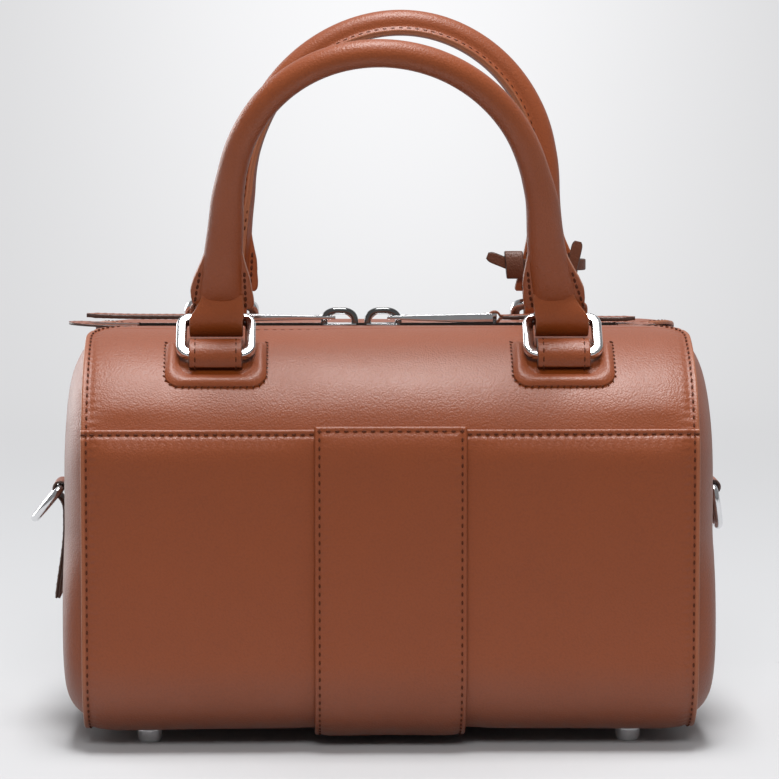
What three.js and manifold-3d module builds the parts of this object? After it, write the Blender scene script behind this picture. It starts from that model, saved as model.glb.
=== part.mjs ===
// A small barrel shaped leather bowling bag with two rolled handles on square rings, a two way zip along
// the top, a ring on a tab at each end and four metal feet. Millimetres, +X to the bag's right as seen from
// the front, +Y to the back, +Z up. The origin is the middle of the flat underside of the centre band.
import * as THREE from "three";
import { mergeVertices } from "three/addons/utils/BufferGeometryUtils.js";
import Module from "manifold-3d";

const wasm = await Module();
wasm.setup();

// Body
const BODY_HALF_LENGTH = 115.5;
const BODY_DEPTH = 148;
const BODY_HEIGHT = 148.4;
const BASE_CORNER_RADIUS = 24;
const SHOULDER_HEIGHT = 46;
const MOUTH_HALF_WIDTH = 10;
const MOUTH_SEAM = 6;
const CORNER_TRIM = 12;
const CORNER_TRIM_RUN = 25;
const LOWER_EDGE_HEIGHT = 118.7;
const LOWER_EDGE_LAP = 10;
const BAND_WIDTH = 57;
const BAND_RISE = 0.5;
const END_BULGE = 8.5;
const END_TUCK = 2;
const END_DIP_RUN = 12;
const ARC_STEPS = 8;
const END_LEVELS = [0.4, 0.7, 0.88, 1];
const END_ROUNDING = 6;
const MERGE_DISTANCE = 1e-4;
const STATION_TOLERANCE = 0.003;
const CURVE_STEPS = 6;

// Layers
const CLEARANCE = 0.3;
const PANEL_THICKNESS = 1.6;
const STIFFENER_THICKNESS = 1.6;
const BAND_THICKNESS = 2.8;
const END_THICKNESS = 1.8;
const LINING_THICKNESS = 0.6;
const BOARD_THICKNESS = 2;
const BOARD_MARGIN = 2;

// Feet
const FOOT_INSET_X = 24;
const FOOT_INSET_Y = 8;
const FOOT_HEIGHT = 5;
const FOOT_RADIUS = 4.2;
const FOOT_RIM = 0.6;
const SHANK_RADIUS = 1.3;
const WASHER_RADIUS = 4.5;
const WASHER_THICKNESS = 1;
const FOOT_SIDES = 10;

// Straps, patches and rings that carry the handles
const STRAP_WIDTH = 20;
const STRAP_LEATHER = 1.5;
const RING_INSET = 50;
const RING_STATION = 46;
const RING_WIRE = 4;
const RING_WIRE_DEPTH = 3.4;
const RING_PITCH = 18;
const RING_CORNER = 3.6;
const RING_CHAMFER = 0.8;
const RING_BEND_STEPS = 3;
const RING_TILT = THREE.MathUtils.degToRad(47);
const RING_SIDE_CLEARANCE = 1;
const BORE_CLEARANCE = 0.4;
const LOOP_TAIL = 6.2;
const LOOP_RISE = THREE.MathUtils.degToRad(35);
const PATCH_RECESS = 3.75;
const PATCH_RIDGE = 6;
const PATCH_RIDGE_HEIGHT = 2.2;
const PATCH_EDGE_HEIGHT = 0.9;
const PATCH_CREST_START = 0.3;
const PATCH_CREST_END = 0.7;
const PATCH_ABOVE = 13.5;
const PATCH_BELOW = 13.5;
const PATCH_CORNER = 6;
const PATCH_STEPS = 4;

// Handles
const HANDLE_HEIGHT = 117.8;
const HANDLE_LEG = 48;
const HANDLE_DRAW_IN = 6.5;
const HANDLE_RADIUS = 5.2;
const HANDLE_ROOT_HALF_WIDTH = 8;
const HANDLE_ROOT_HALF_DEPTH = 4.6;
const HANDLE_EVEN_HEIGHT = 70;
const HANDLE_LIP = 2.6;
const HANDLE_LIP_HALF_THICKNESS = 1.3;
const HANDLE_LIP_ANGLE = THREE.MathUtils.degToRad(25);
const HANDLE_LIP_TURN = THREE.MathUtils.degToRad(60);
const HANDLE_SEAM = 0.5;
const HANDLE_STEPS = 26;
const HANDLE_SIDES = 9;
const CORE_RADIUS = 3.6;
const CORE_SIDES = 6;
const CORE_FOOT = 22;
const LEAF_FOOT = 6;
const LEAF_STEM = 8;
const LEAF_WIDEST = 13;
const LEAF_TIP = 34;
const LEAF_HALF_WIDTH = 11.8;
const LEAF_MIDDLE_HALF_WIDTH = 10.15;
const LEAF_STEPS = 8;
const LEAF_THICKNESS = 3.4;
const FRONT_LEAN = THREE.MathUtils.degToRad(25);
const REAR_LEAN = 0;
const FRONT_SKEW = -5;
const REAR_SKEW = 7;

// Zip
const ZIP_LEFT_OVERRUN = 0.5;
const ZIP_RIGHT_SHORTFALL = 6.5;
const TAPE_THICKNESS = 0.8;
const TEETH_HEIGHT = 2;
const TEETH_PITCH = 4;
const TOOTH_WIDTH = 2;
const TOOTH_LENGTH = 1.3;
const TEETH_SPINE = 1;
const TEETH_CHANNEL = 1.4;
const TAB_HALF_WIDTH = 8.5;
const TAB_THICKNESS = 1;
const TAB_OVERLAP = 7;
const LEFT_TAB_LENGTH = 27;
const RIGHT_TAB_LENGTH = 15;
const SLIDER_MEET = -10;
const SLIDER_GAP = 4;
const SLIDER_LENGTH = 13;
const SLIDER_HALF_WIDTH = 4.7;
const SLIDER_NOSE_HALF_WIDTH = 3.5;
const SLIDER_TAIL_HALF_WIDTH = 3.3;
const SLIDER_TAIL_TAPER = 1.3;
const SLIDER_PLATE = 1.2;
const SLIDER_FLANGE = 1.1;
const SLIDER_WEB = 0.6;
const CROWN_WIDTH = 3.2;
const CROWN_BAR = 1.4;
const CROWN_HEIGHT = 5.4;
const CROWN_STEPS = 10;
const PULL_SETBACK = 4.1;
const PULL_RISE = 2.3;
const PULL_LENGTH = 42;
const PULL_HALF_WIDTH = 3.3;
const PULL_THICKNESS = 1.4;
const PULL_BAR = 1.6;
const PULL_EYE = 6.5;
const PULL_SLOT = 3.4;
const PULL_NECK = 3.6;
const PULL_STRAP_LENGTH = 55;
const PULL_STRAP_HALF_WIDTH = 4;
const PULL_STRAP_LEATHER = 0.8;

// End tabs and rings
const SIDE_TAB_WIDTH = 16;
const SIDE_TAB_TOP = 89.7;
const SIDE_TAB_BOTTOM = 43.6;
const SIDE_TAB_FALL = THREE.MathUtils.degToRad(-50);
const SIDE_TAB_LEATHER = 1.1;
const SIDE_RING_RADIUS = 1.6;
const SIDE_RING_DROP = 16;
const SIDE_RING_CORNER = 3;
const SIDE_RING_STEPS = 8;
const SIDE_RING_CLEARANCE = 0.8;
const LEFT_SIDE_RING_SWING = THREE.MathUtils.degToRad(40);
const RIGHT_SIDE_RING_SWING = THREE.MathUtils.degToRad(10);

// Lace tied round the back handle's right leg
const LACE_WIDTH = 4.5;
const LACE_THICKNESS = 1.8;
const LACE_HEIGHT = 16;
const LACE_KNOT = 7;
const LACE_KNOT_DEPTH = 5;
const LACE_KNOT_HEIGHT = 9;
const LACE_TAIL = 12;
const LACE_TAIL_DROOP = THREE.MathUtils.degToRad(11);
const LACE_TAIL_RISE = THREE.MathUtils.degToRad(63);
const LACE_STEPS = 20;

// Colours read from the real materials
const LEATHER = { color: 0x8c5038, roughness: 0.5, metalness: 0 };
const EDGE_LEATHER = { color: 0x7a4632, roughness: 0.55, metalness: 0 };
const LINING = { color: 0x3a2a24, roughness: 0.9, metalness: 0 };
const TAPE = { color: 0x3b241b, roughness: 0.9, metalness: 0 };
const BOARD = { color: 0x8f7f6c, roughness: 0.9, metalness: 0 };
const CORE = { color: 0xd8cdb8, roughness: 0.9, metalness: 0 };
const METAL = { color: 0xd6d6d8, roughness: 0.2, metalness: 1 };

const bag = new THREE.Group();

function addPiece(parent, name, geometry, finish) {
  const mesh = new THREE.Mesh(geometry, new THREE.MeshStandardMaterial(finish));
  mesh.name = name;
  parent.add(mesh);
  return mesh;
}

function merged(geometry) {
  const bare = geometry.clone();
  bare.deleteAttribute("normal");
  bare.deleteAttribute("uv");
  return mergeVertices(bare, MERGE_DISTANCE);
}

function solid(geometry) {
  const mesh = merged(geometry);
  const vertProperties = new Float32Array(mesh.attributes.position.array);
  const triVerts = new Uint32Array(mesh.index.array);
  return new wasm.Manifold(new wasm.Mesh({ numProp: 3, vertProperties, triVerts }));
}

function shapeOf(manifold) {
  const mesh = manifold.getMesh();
  const geometry = new THREE.BufferGeometry();
  geometry.setAttribute("position", new THREE.BufferAttribute(new Float32Array(mesh.vertProperties), 3));
  geometry.setIndex(new THREE.BufferAttribute(new Uint32Array(mesh.triVerts), 1));
  return geometry;
}

function joined(geometries) {
  return geometries.map(solid).reduce((whole, piece) => whole.add(piece));
}

function signedVolume(points, index) {
  let volume = 0;
  for (let i = 0; i < index.length; i += 3) {
    const [a, b, c] = [points[index[i]], points[index[i + 1]], points[index[i + 2]]];
    volume += a.dot(b.clone().cross(c)) / 6;
  }
  return volume;
}

// Skins a row of rings that have the same number of points, splitting each patch on its shorter diagonal.
// An open row is closed by a fan at each end, and a looped row joins its last ring to its first.
function skin(rings, looped = false) {
  const count = rings[0].length;
  const points = rings.flat().map((point) => point.clone());
  const index = [];
  const spans = looped ? rings.length : rings.length - 1;
  for (let i = 0; i < spans; i += 1) {
    const next = ((i + 1) % rings.length) * count;
    for (let j = 0; j < count; j += 1) {
      const k = (j + 1) % count;
      const [a, b, c, d] = [i * count + j, i * count + k, next + k, next + j];
      const straight = points[a].distanceTo(points[c]) < points[b].distanceTo(points[d]);
      index.push(...(straight ? [a, b, c, a, c, d] : [a, b, d, b, c, d]));
    }
  }
  if (!looped) {
    [0, rings.length - 1].forEach((ring) => {
      const middle = new THREE.Vector3();
      rings[ring].forEach((point) => middle.addScaledVector(point, 1 / count));
      const apex = points.push(middle) - 1;
      for (let j = 0; j < count; j += 1) {
        const edge = [ring * count + j, ring * count + ((j + 1) % count)];
        index.push(apex, ...(ring === 0 ? edge.reverse() : edge));
      }
    });
  }
  if (signedVolume(points, index) < 0) {
    index.reverse();
  }
  return new THREE.BufferGeometry().setFromPoints(points).setIndex(index);
}

function block(x0, x1, y0, y1, z0, z1) {
  const geometry = new THREE.BoxGeometry(x1 - x0, y1 - y0, z1 - z0);
  return geometry.translate((x0 + x1) / 2, (y0 + y1) / 2, (z0 + z1) / 2);
}

// Extrudes a shape drawn on the across and up directions, half of the width to each side of its plane.
function slab(shape, width, across, up) {
  const options = { depth: width, bevelEnabled: false, curveSegments: CURVE_STEPS };
  const geometry = new THREE.ExtrudeGeometry(shape, options);
  const through = across.clone().cross(up);
  geometry.translate(0, 0, -width / 2);
  return geometry.applyMatrix4(new THREE.Matrix4().makeBasis(across, up, through));
}

const X = new THREE.Vector3(1, 0, 0);
const Y = new THREE.Vector3(0, 1, 0);
const Z = new THREE.Vector3(0, 0, 1);

function circle(radius) {
  return new THREE.Path().absarc(0, 0, radius, 0, 2 * Math.PI, true);
}

// Body section in Y and Z, from the front edge of the mouth down the front, under and up the back
const lowerOuter = CLEARANCE + PANEL_THICKNESS;
const bandInner = lowerOuter + CLEARANCE;
const bandOuter = bandInner + BAND_THICKNESS;
const baseZ = bandOuter;
const topZ = baseZ + BODY_HEIGHT;
const halfDepth = BODY_DEPTH / 2;
const seamHalf = MOUTH_HALF_WIDTH + MOUTH_SEAM;
const shoulderZ = topZ - SHOULDER_HEIGHT;
const shoulderReach = halfDepth - seamHalf;
const flatHalf = halfDepth - BASE_CORNER_RADIUS;
const cornerZ = baseZ + BASE_CORNER_RADIUS;
const section = new THREE.Path();
section.moveTo(-MOUTH_HALF_WIDTH, topZ);
section.lineTo(-seamHalf, topZ);
section.absellipse(-seamHalf, shoulderZ, shoulderReach, SHOULDER_HEIGHT, Math.PI / 2, Math.PI, false, 0);
section.lineTo(-halfDepth, cornerZ);
section.absarc(-flatHalf, cornerZ, BASE_CORNER_RADIUS, Math.PI, 1.5 * Math.PI, false);
section.lineTo(flatHalf, baseZ);
section.absarc(flatHalf, cornerZ, BASE_CORNER_RADIUS, 1.5 * Math.PI, 2 * Math.PI, false);
section.lineTo(halfDepth, shoulderZ);
section.absellipse(seamHalf, shoulderZ, shoulderReach, SHOULDER_HEIGHT, 0, Math.PI / 2, false, 0);
section.lineTo(MOUTH_HALF_WIDTH, topZ);
const girth = section.getLength();

// Stations along a path: the ends of its straight runs, and even steps round its curves
function stationsOf(path, steps) {
  const stations = [0];
  path.curves.forEach((curve) => {
    const count = curve.isLineCurve ? 1 : steps;
    const [start, length] = [stations.at(-1), curve.getLength()];
    for (let step = 1; step <= count && length > CLEARANCE; step += 1) {
      stations.push(start + (length * step) / count);
    }
  });
  return stations;
}

const bodyStations = stationsOf(section, ARC_STEPS);

function stationsBetween(from, to) {
  const inner = bodyStations.filter((s) => s > from + CLEARANCE && s < to - CLEARANCE);
  return [from, ...inner, to];
}

function sectionAt(s) {
  const t = THREE.MathUtils.clamp(s / girth, 0, 1);
  const point = section.getPoint(t);
  const along = section.getTangent(t);
  return { point, along, out: new THREE.Vector2(along.y, -along.x) };
}

function onBody(x, s, height) {
  const { point, out } = sectionAt(s);
  return new THREE.Vector3(x, point.x + out.x * height, point.y + out.y * height);
}

// The front station at which the section passes a height
function stationAtHeight(height) {
  let [low, high] = [0, girth / 2];
  while (high - low > STATION_TOLERANCE) {
    const middle = (low + high) / 2;
    [low, high] = sectionAt(middle).point.y > height ? [middle, high] : [low, middle];
  }
  return low;
}

// The panels draw in towards the zip, so that the bag's top corners are round
function halfLengthAt(s) {
  const fromMouth = Math.min(s, girth - s);
  const draw = Math.max(0, 1 - fromMouth / CORNER_TRIM_RUN);
  return BODY_HALF_LENGTH - CORNER_TRIM * draw * draw;
}

function wrapSheet(from, to, innerOf, outerOf, halfLengthOf) {
  const rings = stationsBetween(from, to).map((s) => {
    const half = halfLengthOf(s);
    const [inner, outer] = [innerOf(s), outerOf(s)];
    const corners = [[-half, outer], [half, outer], [half, inner], [-half, inner]];
    return corners.map(([x, height]) => onBody(x, s, height));
  });
  return skin(rings);
}

// Body panels
const lowerEdge = stationAtHeight(LOWER_EDGE_HEIGHT);
const upperEnd = lowerEdge + LOWER_EDGE_LAP;
const bandEdge = lowerEdge - BAND_RISE;
const footX = BODY_HALF_LENGTH - FOOT_INSET_X;
const footY = flatHalf - FOOT_INSET_Y;
const footCorners = [
  ["front_left", -1, -1],
  ["front_right", 1, -1],
  ["rear_left", -1, 1],
  ["rear_right", 1, 1],
];

function withShankHoles(geometry) {
  const radius = SHANK_RADIUS + CLEARANCE;
  const hole = new THREE.CylinderGeometry(radius, radius, topZ, FOOT_SIDES);
  hole.rotateX(Math.PI / 2);
  const cut = footCorners.reduce((sheet, [, sideX, sideY]) => {
    return sheet.subtract(solid(hole.clone().translate(sideX * footX, sideY * footY, 0)));
  }, solid(geometry));
  return shapeOf(cut);
}

const upperSheet = () => wrapSheet(0, upperEnd, () => -PANEL_THICKNESS, () => 0, halfLengthAt);
addPiece(bag, "front_upper_panel", upperSheet(), LEATHER);
addPiece(bag, "back_upper_panel", upperSheet().rotateZ(Math.PI), LEATHER);
const lowerEnd = girth - lowerEdge;
const lowerSheet = wrapSheet(lowerEdge, lowerEnd, () => CLEARANCE, () => lowerOuter, halfLengthAt);
addPiece(bag, "lower_wrap_panel", withShankHoles(lowerSheet), LEATHER);
const bandEnd = girth - bandEdge;
const bandSheet = wrapSheet(bandEdge, bandEnd, () => bandInner, () => bandOuter, () => BAND_WIDTH / 2);
addPiece(bag, "centre_band", bandSheet, LEATHER);
const stiffenerStart = upperEnd + CLEARANCE;
const stiffenerEnd = girth - stiffenerStart;
const stiffenerInner = () => -STIFFENER_THICKNESS;
const stiffener = wrapSheet(stiffenerStart, stiffenerEnd, stiffenerInner, () => 0, halfLengthAt);
addPiece(bag, "body_stiffener", withShankHoles(stiffener), BOARD);

// Board in the base, over the stiffener
const boardZ = baseZ + STIFFENER_THICKNESS + CLEARANCE;
const boardTop = boardZ + BOARD_THICKNESS;
const endRim = BODY_HALF_LENGTH - END_TUCK - END_THICKNESS;
const liningRim = endRim - CLEARANCE - LINING_THICKNESS;
const boardHalfX = liningRim - BOARD_MARGIN;
const boardHalfY = flatHalf - BOARD_MARGIN;
const board = block(-boardHalfX, boardHalfX, -boardHalfY, boardHalfY, boardZ, boardTop);
addPiece(bag, "base_board", withShankHoles(board), BOARD);

// Lining, which passes over the board and the foot washers
const liningOuter = Math.max(PANEL_THICKNESS, STIFFENER_THICKNESS) + CLEARANCE;
const washerTop = boardTop + CLEARANCE + WASHER_THICKNESS;
const liningLift = washerTop + CLEARANCE - baseZ - liningOuter;
const baseStart = stationAtHeight(cornerZ);
const cornerRun = (BASE_CORNER_RADIUS * Math.PI) / 2;

function liningDepthAt(s) {
  const fromMouth = Math.min(s, girth - s);
  return liningOuter + liningLift * THREE.MathUtils.smoothstep(fromMouth, baseStart, baseStart + cornerRun);
}

const liningStart = MOUTH_SEAM + CLEARANCE;
const liningSheet = wrapSheet(
  liningStart,
  girth - liningStart,
  (s) => -liningDepthAt(s) - LINING_THICKNESS,
  (s) => -liningDepthAt(s),
  (s) => halfLengthAt(s) - BODY_HALF_LENGTH + liningRim - CLEARANCE,
);
addPiece(bag, "lining_wrap", liningSheet, LINING);

// Heights of the zip, whose tapes lie just under the panels
const tapeTop = topZ - PANEL_THICKNESS - CLEARANCE;
const tapeBottom = tapeTop - TAPE_THICKNESS;
const teethMiddle = (tapeTop + tapeBottom) / 2;
const teethTop = teethMiddle + TEETH_HEIGHT / 2;
const teethBottom = teethMiddle - TEETH_HEIGHT / 2;

// Domed ends. Each outline follows the section just inside the panels, and dips under the zip.
const endDip = topZ - liningOuter - Math.min(tapeBottom, teethBottom) + CLEARANCE;
const endMiddleZ = (baseZ + topZ) / 2;
const endReach = BODY_HALF_LENGTH + END_BULGE;

function endOutline(s) {
  const fromMouth = Math.min(s, girth - s);
  const level = THREE.MathUtils.smoothstep(fromMouth, MOUTH_SEAM + CLEARANCE, MOUTH_SEAM + END_DIP_RUN);
  return onBody(0, s, -liningOuter - (1 - level) * endDip);
}

function endSheet(setBack, thickness) {
  const outline = stationsBetween(0, girth);
  const levelRing = (level, depth) => outline.map((s) => {
    const rim = endOutline(s);
    const drop = (endReach - halfLengthAt(s) + END_TUCK) * level ** END_ROUNDING;
    const z = endMiddleZ + (rim.z - endMiddleZ) * level;
    return new THREE.Vector3(endReach - drop - depth, rim.y * level, z);
  });
  const outer = END_LEVELS.map((level) => levelRing(level, setBack));
  const inner = END_LEVELS.map((level) => levelRing(level, setBack + thickness)).reverse();
  return skin([...outer, ...inner]);
}

const endLiningDepth = END_THICKNESS + CLEARANCE;
[["right", 0], ["left", Math.PI]].forEach(([side, turn]) => {
  const panel = endSheet(0, END_THICKNESS);
  const lining = endSheet(endLiningDepth, LINING_THICKNESS);
  addPiece(bag, `${side}_end_panel`, panel.rotateZ(turn), LEATHER);
  addPiece(bag, `${side}_end_lining`, lining.rotateZ(turn), LINING);
});

// Feet, each a turned stud whose shank passes the panel, stiffener and board into a washer
const footTop = baseZ - lowerOuter - CLEARANCE;
const footBottom = baseZ - lowerOuter - FOOT_HEIGHT;

function footStud() {
  const profile = [
    [0, footBottom],
    [FOOT_RADIUS - 2 * FOOT_RIM, footBottom],
    [FOOT_RADIUS - FOOT_RIM, footBottom + FOOT_RIM],
    [FOOT_RADIUS, footTop - FOOT_RIM],
    [FOOT_RADIUS - FOOT_RIM, footTop],
    [SHANK_RADIUS, footTop],
    [SHANK_RADIUS, washerTop],
    [0, washerTop],
  ];
  const outline = profile.map(([r, z]) => new THREE.Vector2(r, z));
  return new THREE.LatheGeometry(outline, FOOT_SIDES).rotateX(Math.PI / 2);
}

function footWasher() {
  const hole = SHANK_RADIUS + CLEARANCE;
  const [low, high] = [boardTop + CLEARANCE, washerTop];
  const profile = [[hole, low], [WASHER_RADIUS, low], [WASHER_RADIUS, high], [hole, high], [hole, low]];
  const outline = profile.map(([r, z]) => new THREE.Vector2(r, z));
  return new THREE.LatheGeometry(outline, FOOT_SIDES).rotateX(Math.PI / 2);
}

footCorners.forEach(([corner, sideX, sideY]) => {
  [["foot", footStud()], ["foot_washer", footWasher()]].forEach(([kind, geometry]) => {
    const piece = addPiece(bag, `${corner}_${kind}`, geometry, METAL);
    piece.position.set(sideX * footX, sideY * footY, 0);
  });
});

// A rod bent round a closed path in its own X and Z plane, with a chamfered section
function bentRod(path, bendSteps, width, depth, chamfer) {
  const [a, b] = [width / 2, depth / 2];
  const corners = [[a, b - chamfer], [a - chamfer, b], [chamfer - a, b], [-a, b - chamfer]];
  const outline = [...corners, ...corners.map(([u, v]) => [-u, -v])];
  const length = path.getLength();
  const rings = stationsOf(path, bendSteps).slice(1).map((s) => {
    const point = path.getPoint(s / length);
    const along = path.getTangent(s / length);
    return outline.map(([u, v]) => new THREE.Vector3(point.x - along.y * u, v, point.y + along.x * u));
  });
  return skin(rings, true);
}

// Ring hardware and handles, made once for the front and turned half round for the back
const bore = Math.hypot(RING_WIRE / 2, RING_WIRE_DEPTH / 4) + BORE_CLEARANCE;
const loopRadius = bore + STRAP_LEATHER;
const ringX = BODY_HALF_LENGTH - RING_INSET;
const ringHalfWidth = STRAP_WIDTH / 2 + RING_SIDE_CLEARANCE + RING_WIRE / 2;
const ringBar = onBody(0, RING_STATION, loopRadius + CLEARANCE);
const handleBar = ringBar.clone().add(
  new THREE.Vector3(0, RING_PITCH * Math.sin(RING_TILT), RING_PITCH * Math.cos(RING_TILT)),
);

// Leather loop that holds a ring's lower bar, sewn down on its lower side
function ringLoop() {
  const { along, out } = sectionAt(RING_STATION);
  const shape = new THREE.Shape();
  shape.moveTo(0, -loopRadius);
  shape.lineTo(LOOP_TAIL, -loopRadius);
  shape.lineTo(LOOP_TAIL, 2 * STRAP_LEATHER - loopRadius);
  shape.lineTo(loopRadius * Math.cos(LOOP_RISE), loopRadius * Math.sin(LOOP_RISE));
  shape.absarc(0, 0, loopRadius, LOOP_RISE, 1.5 * Math.PI, false);
  shape.holes.push(circle(bore));
  const downhill = new THREE.Vector3(0, along.x, along.y);
  return slab(shape, STRAP_WIDTH, downhill, new THREE.Vector3(0, out.x, out.y));
}

// Rounded square ring, with its lower bar on the local X axis
function squareRing() {
  const [half, top, round] = [ringHalfWidth, RING_PITCH, RING_CORNER];
  const path = new THREE.Path();
  path.moveTo(round - half, 0);
  path.lineTo(half - round, 0);
  path.absarc(half - round, round, round, -Math.PI / 2, 0, false);
  path.lineTo(half, top - round);
  path.absarc(half - round, top - round, round, 0, Math.PI / 2, false);
  path.lineTo(round - half, top);
  path.absarc(round - half, top - round, round, Math.PI / 2, Math.PI, false);
  path.lineTo(-half, round);
  path.absarc(round - half, round, round, Math.PI, 1.5 * Math.PI, false);
  return bentRod(path, RING_BEND_STEPS, RING_WIRE, RING_WIRE_DEPTH, RING_CHAMFER);
}

// Padded ridge that runs down, across and up round a loop
function ridgePath(halfWidth, bottom, round) {
  const path = new THREE.Path();
  path.moveTo(-halfWidth, RING_STATION - PATCH_ABOVE);
  path.lineTo(-halfWidth, bottom - round);
  path.absarc(round - halfWidth, bottom - round, round, Math.PI, Math.PI / 2, true);
  path.lineTo(halfWidth - round, bottom);
  path.absarc(halfWidth - round, bottom - round, round, Math.PI / 2, 0, true);
  path.lineTo(halfWidth, RING_STATION - PATCH_ABOVE);
  const legs = [path.curves[0], path.curves[4]];
  const bends = [path.curves[1], path.curves[3]];
  const down = [...legs[0].getPoints(PATCH_STEPS), ...bends[0].getPoints(PATCH_STEPS).slice(1)];
  const up = [...bends[1].getPoints(PATCH_STEPS), ...legs[1].getPoints(PATCH_STEPS).slice(1)];
  return [...down, ...up];
}

function patchRidge(x) {
  const innerHalf = STRAP_WIDTH / 2 + PATCH_RECESS;
  const bottom = RING_STATION + PATCH_BELOW;
  const outer = ridgePath(innerHalf + PATCH_RIDGE, bottom, PATCH_CORNER);
  const inner = ridgePath(innerHalf, bottom - PATCH_RIDGE, PATCH_CORNER);
  const profile = [
    [0, 0],
    [0, PATCH_EDGE_HEIGHT],
    [PATCH_CREST_START, PATCH_RIDGE_HEIGHT],
    [PATCH_CREST_END, PATCH_RIDGE_HEIGHT],
    [1, PATCH_EDGE_HEIGHT],
    [1, 0],
  ];
  const rings = outer.map((edge, i) => profile.map(([share, height]) => {
    const place = edge.clone().lerp(inner[i], share);
    return onBody(x + place.x, place.y, CLEARANCE + height);
  }));
  return skin(rings);
}

// Handle centre line in its own X and Z plane, with the ring bars at height 0
const archRise = HANDLE_HEIGHT - HANDLE_RADIUS - HANDLE_LEG;
const archHalf = ringX - HANDLE_DRAW_IN;

// How far a leg stands out from the arch's half width at a height, as it spreads to its ring
function legSpread(height) {
  return HANDLE_DRAW_IN * (Math.max(0, HANDLE_LEG - height) / HANDLE_LEG) ** 2;
}

const leafX = archHalf + legSpread(LEAF_WIDEST);

function handleSpine(foot) {
  const path = new THREE.Path();
  path.moveTo(-archHalf, foot);
  path.lineTo(-archHalf, HANDLE_LEG);
  path.absellipse(0, HANDLE_LEG, archHalf, archRise, Math.PI, 0, true, 0);
  path.lineTo(archHalf, foot);
  return path;
}

// Sweeps an outline of outward and depth offsets along a handle. Its legs spread out to the rings as they
// come down, and its arch leans sideways by the skew.
function handleSweep(foot, steps, skew, outlineAt) {
  const path = handleSpine(foot);
  const rings = Array.from({ length: steps + 1 }, (unused, step) => {
    const point = path.getPoint(step / steps);
    const along = path.getTangent(step / steps);
    const lift = Math.max(0, point.y - CORE_FOOT) / (HANDLE_HEIGHT - CORE_FOOT);
    const x = point.x + skew * lift * lift + Math.sign(point.x) * legSpread(point.y);
    return outlineAt(point.y).map(([outward, depth]) => {
      return new THREE.Vector3(x - along.y * outward, depth, point.y + along.x * outward);
    });
  });
  return skin(rings);
}

// Places along and across the sewn lips, which leave a handle on its inner side, turned to the bag's middle
const lipAlong = new THREE.Vector2(-Math.cos(HANDLE_LIP_TURN), Math.sin(HANDLE_LIP_TURN));
const lipAcross = new THREE.Vector2(Math.sin(HANDLE_LIP_TURN), Math.cos(HANDLE_LIP_TURN));

function onLip(reach, side) {
  return [lipAlong.x * reach + lipAcross.x * side, lipAlong.y * reach + lipAcross.y * side];
}

function tubeOutline(height) {
  const even = THREE.MathUtils.smoothstep(height, LEAF_WIDEST, HANDLE_EVEN_HEIGHT);
  const halfWidth = THREE.MathUtils.lerp(HANDLE_ROOT_HALF_WIDTH, HANDLE_RADIUS, even);
  const halfDepthHere = THREE.MathUtils.lerp(HANDLE_ROOT_HALF_DEPTH, HANDLE_RADIUS, even);
  const lipRoot = 1 / Math.hypot(lipAlong.x / halfWidth, lipAlong.y / halfDepthHere);
  const lipTurn = Math.atan2(lipAlong.y / halfDepthHere, -lipAlong.x / halfWidth);
  const lipTip = lipRoot + THREE.MathUtils.lerp(CLEARANCE, HANDLE_LIP, even);
  const lips = [onLip(lipTip, -HANDLE_LIP_HALF_THICKNESS), onLip(lipTip, HANDLE_LIP_HALF_THICKNESS)];
  const tube = Array.from({ length: HANDLE_SIDES }, (unused, side) => {
    const share = side / (HANDLE_SIDES - 1);
    const turn = lipTurn + HANDLE_LIP_ANGLE + 2 * (Math.PI - HANDLE_LIP_ANGLE) * share;
    return [-halfWidth * Math.cos(turn), halfDepthHere * Math.sin(turn)];
  });
  return [...lips, ...tube];
}

function roundOutline(radius) {
  return Array.from({ length: CORE_SIDES }, (unused, side) => {
    const turn = (2 * Math.PI * (side + 0.5)) / CORE_SIDES;
    return [radius * Math.cos(turn), radius * Math.sin(turn)];
  });
}

function leafShape() {
  const half = [
    [STRAP_WIDTH / 2, LEAF_FOOT],
    [LEAF_HALF_WIDTH, LEAF_WIDEST],
    [LEAF_MIDDLE_HALF_WIDTH, (LEAF_WIDEST + LEAF_TIP) / 2],
    [HANDLE_RADIUS, LEAF_TIP],
  ];
  const side = new THREE.SplineCurve(half.map(([x, z]) => new THREE.Vector2(x, z))).getPoints(LEAF_STEPS);
  const mirrored = side.map((point) => new THREE.Vector2(-point.x, point.y)).reverse();
  return new THREE.Shape([...side, ...mirrored]);
}

// Strap fold round a ring's upper bar, rising into the leaf
function foldShape() {
  const stem = LEAF_THICKNESS / 2;
  const neck = Math.asin(stem / loopRadius);
  const shape = new THREE.Shape();
  shape.moveTo(stem, LEAF_STEM);
  shape.lineTo(-stem, LEAF_STEM);
  shape.absarc(0, 0, loopRadius, Math.PI / 2 + neck, 2.5 * Math.PI - neck, false);
  shape.holes.push(circle(bore));
  return shape;
}

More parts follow.
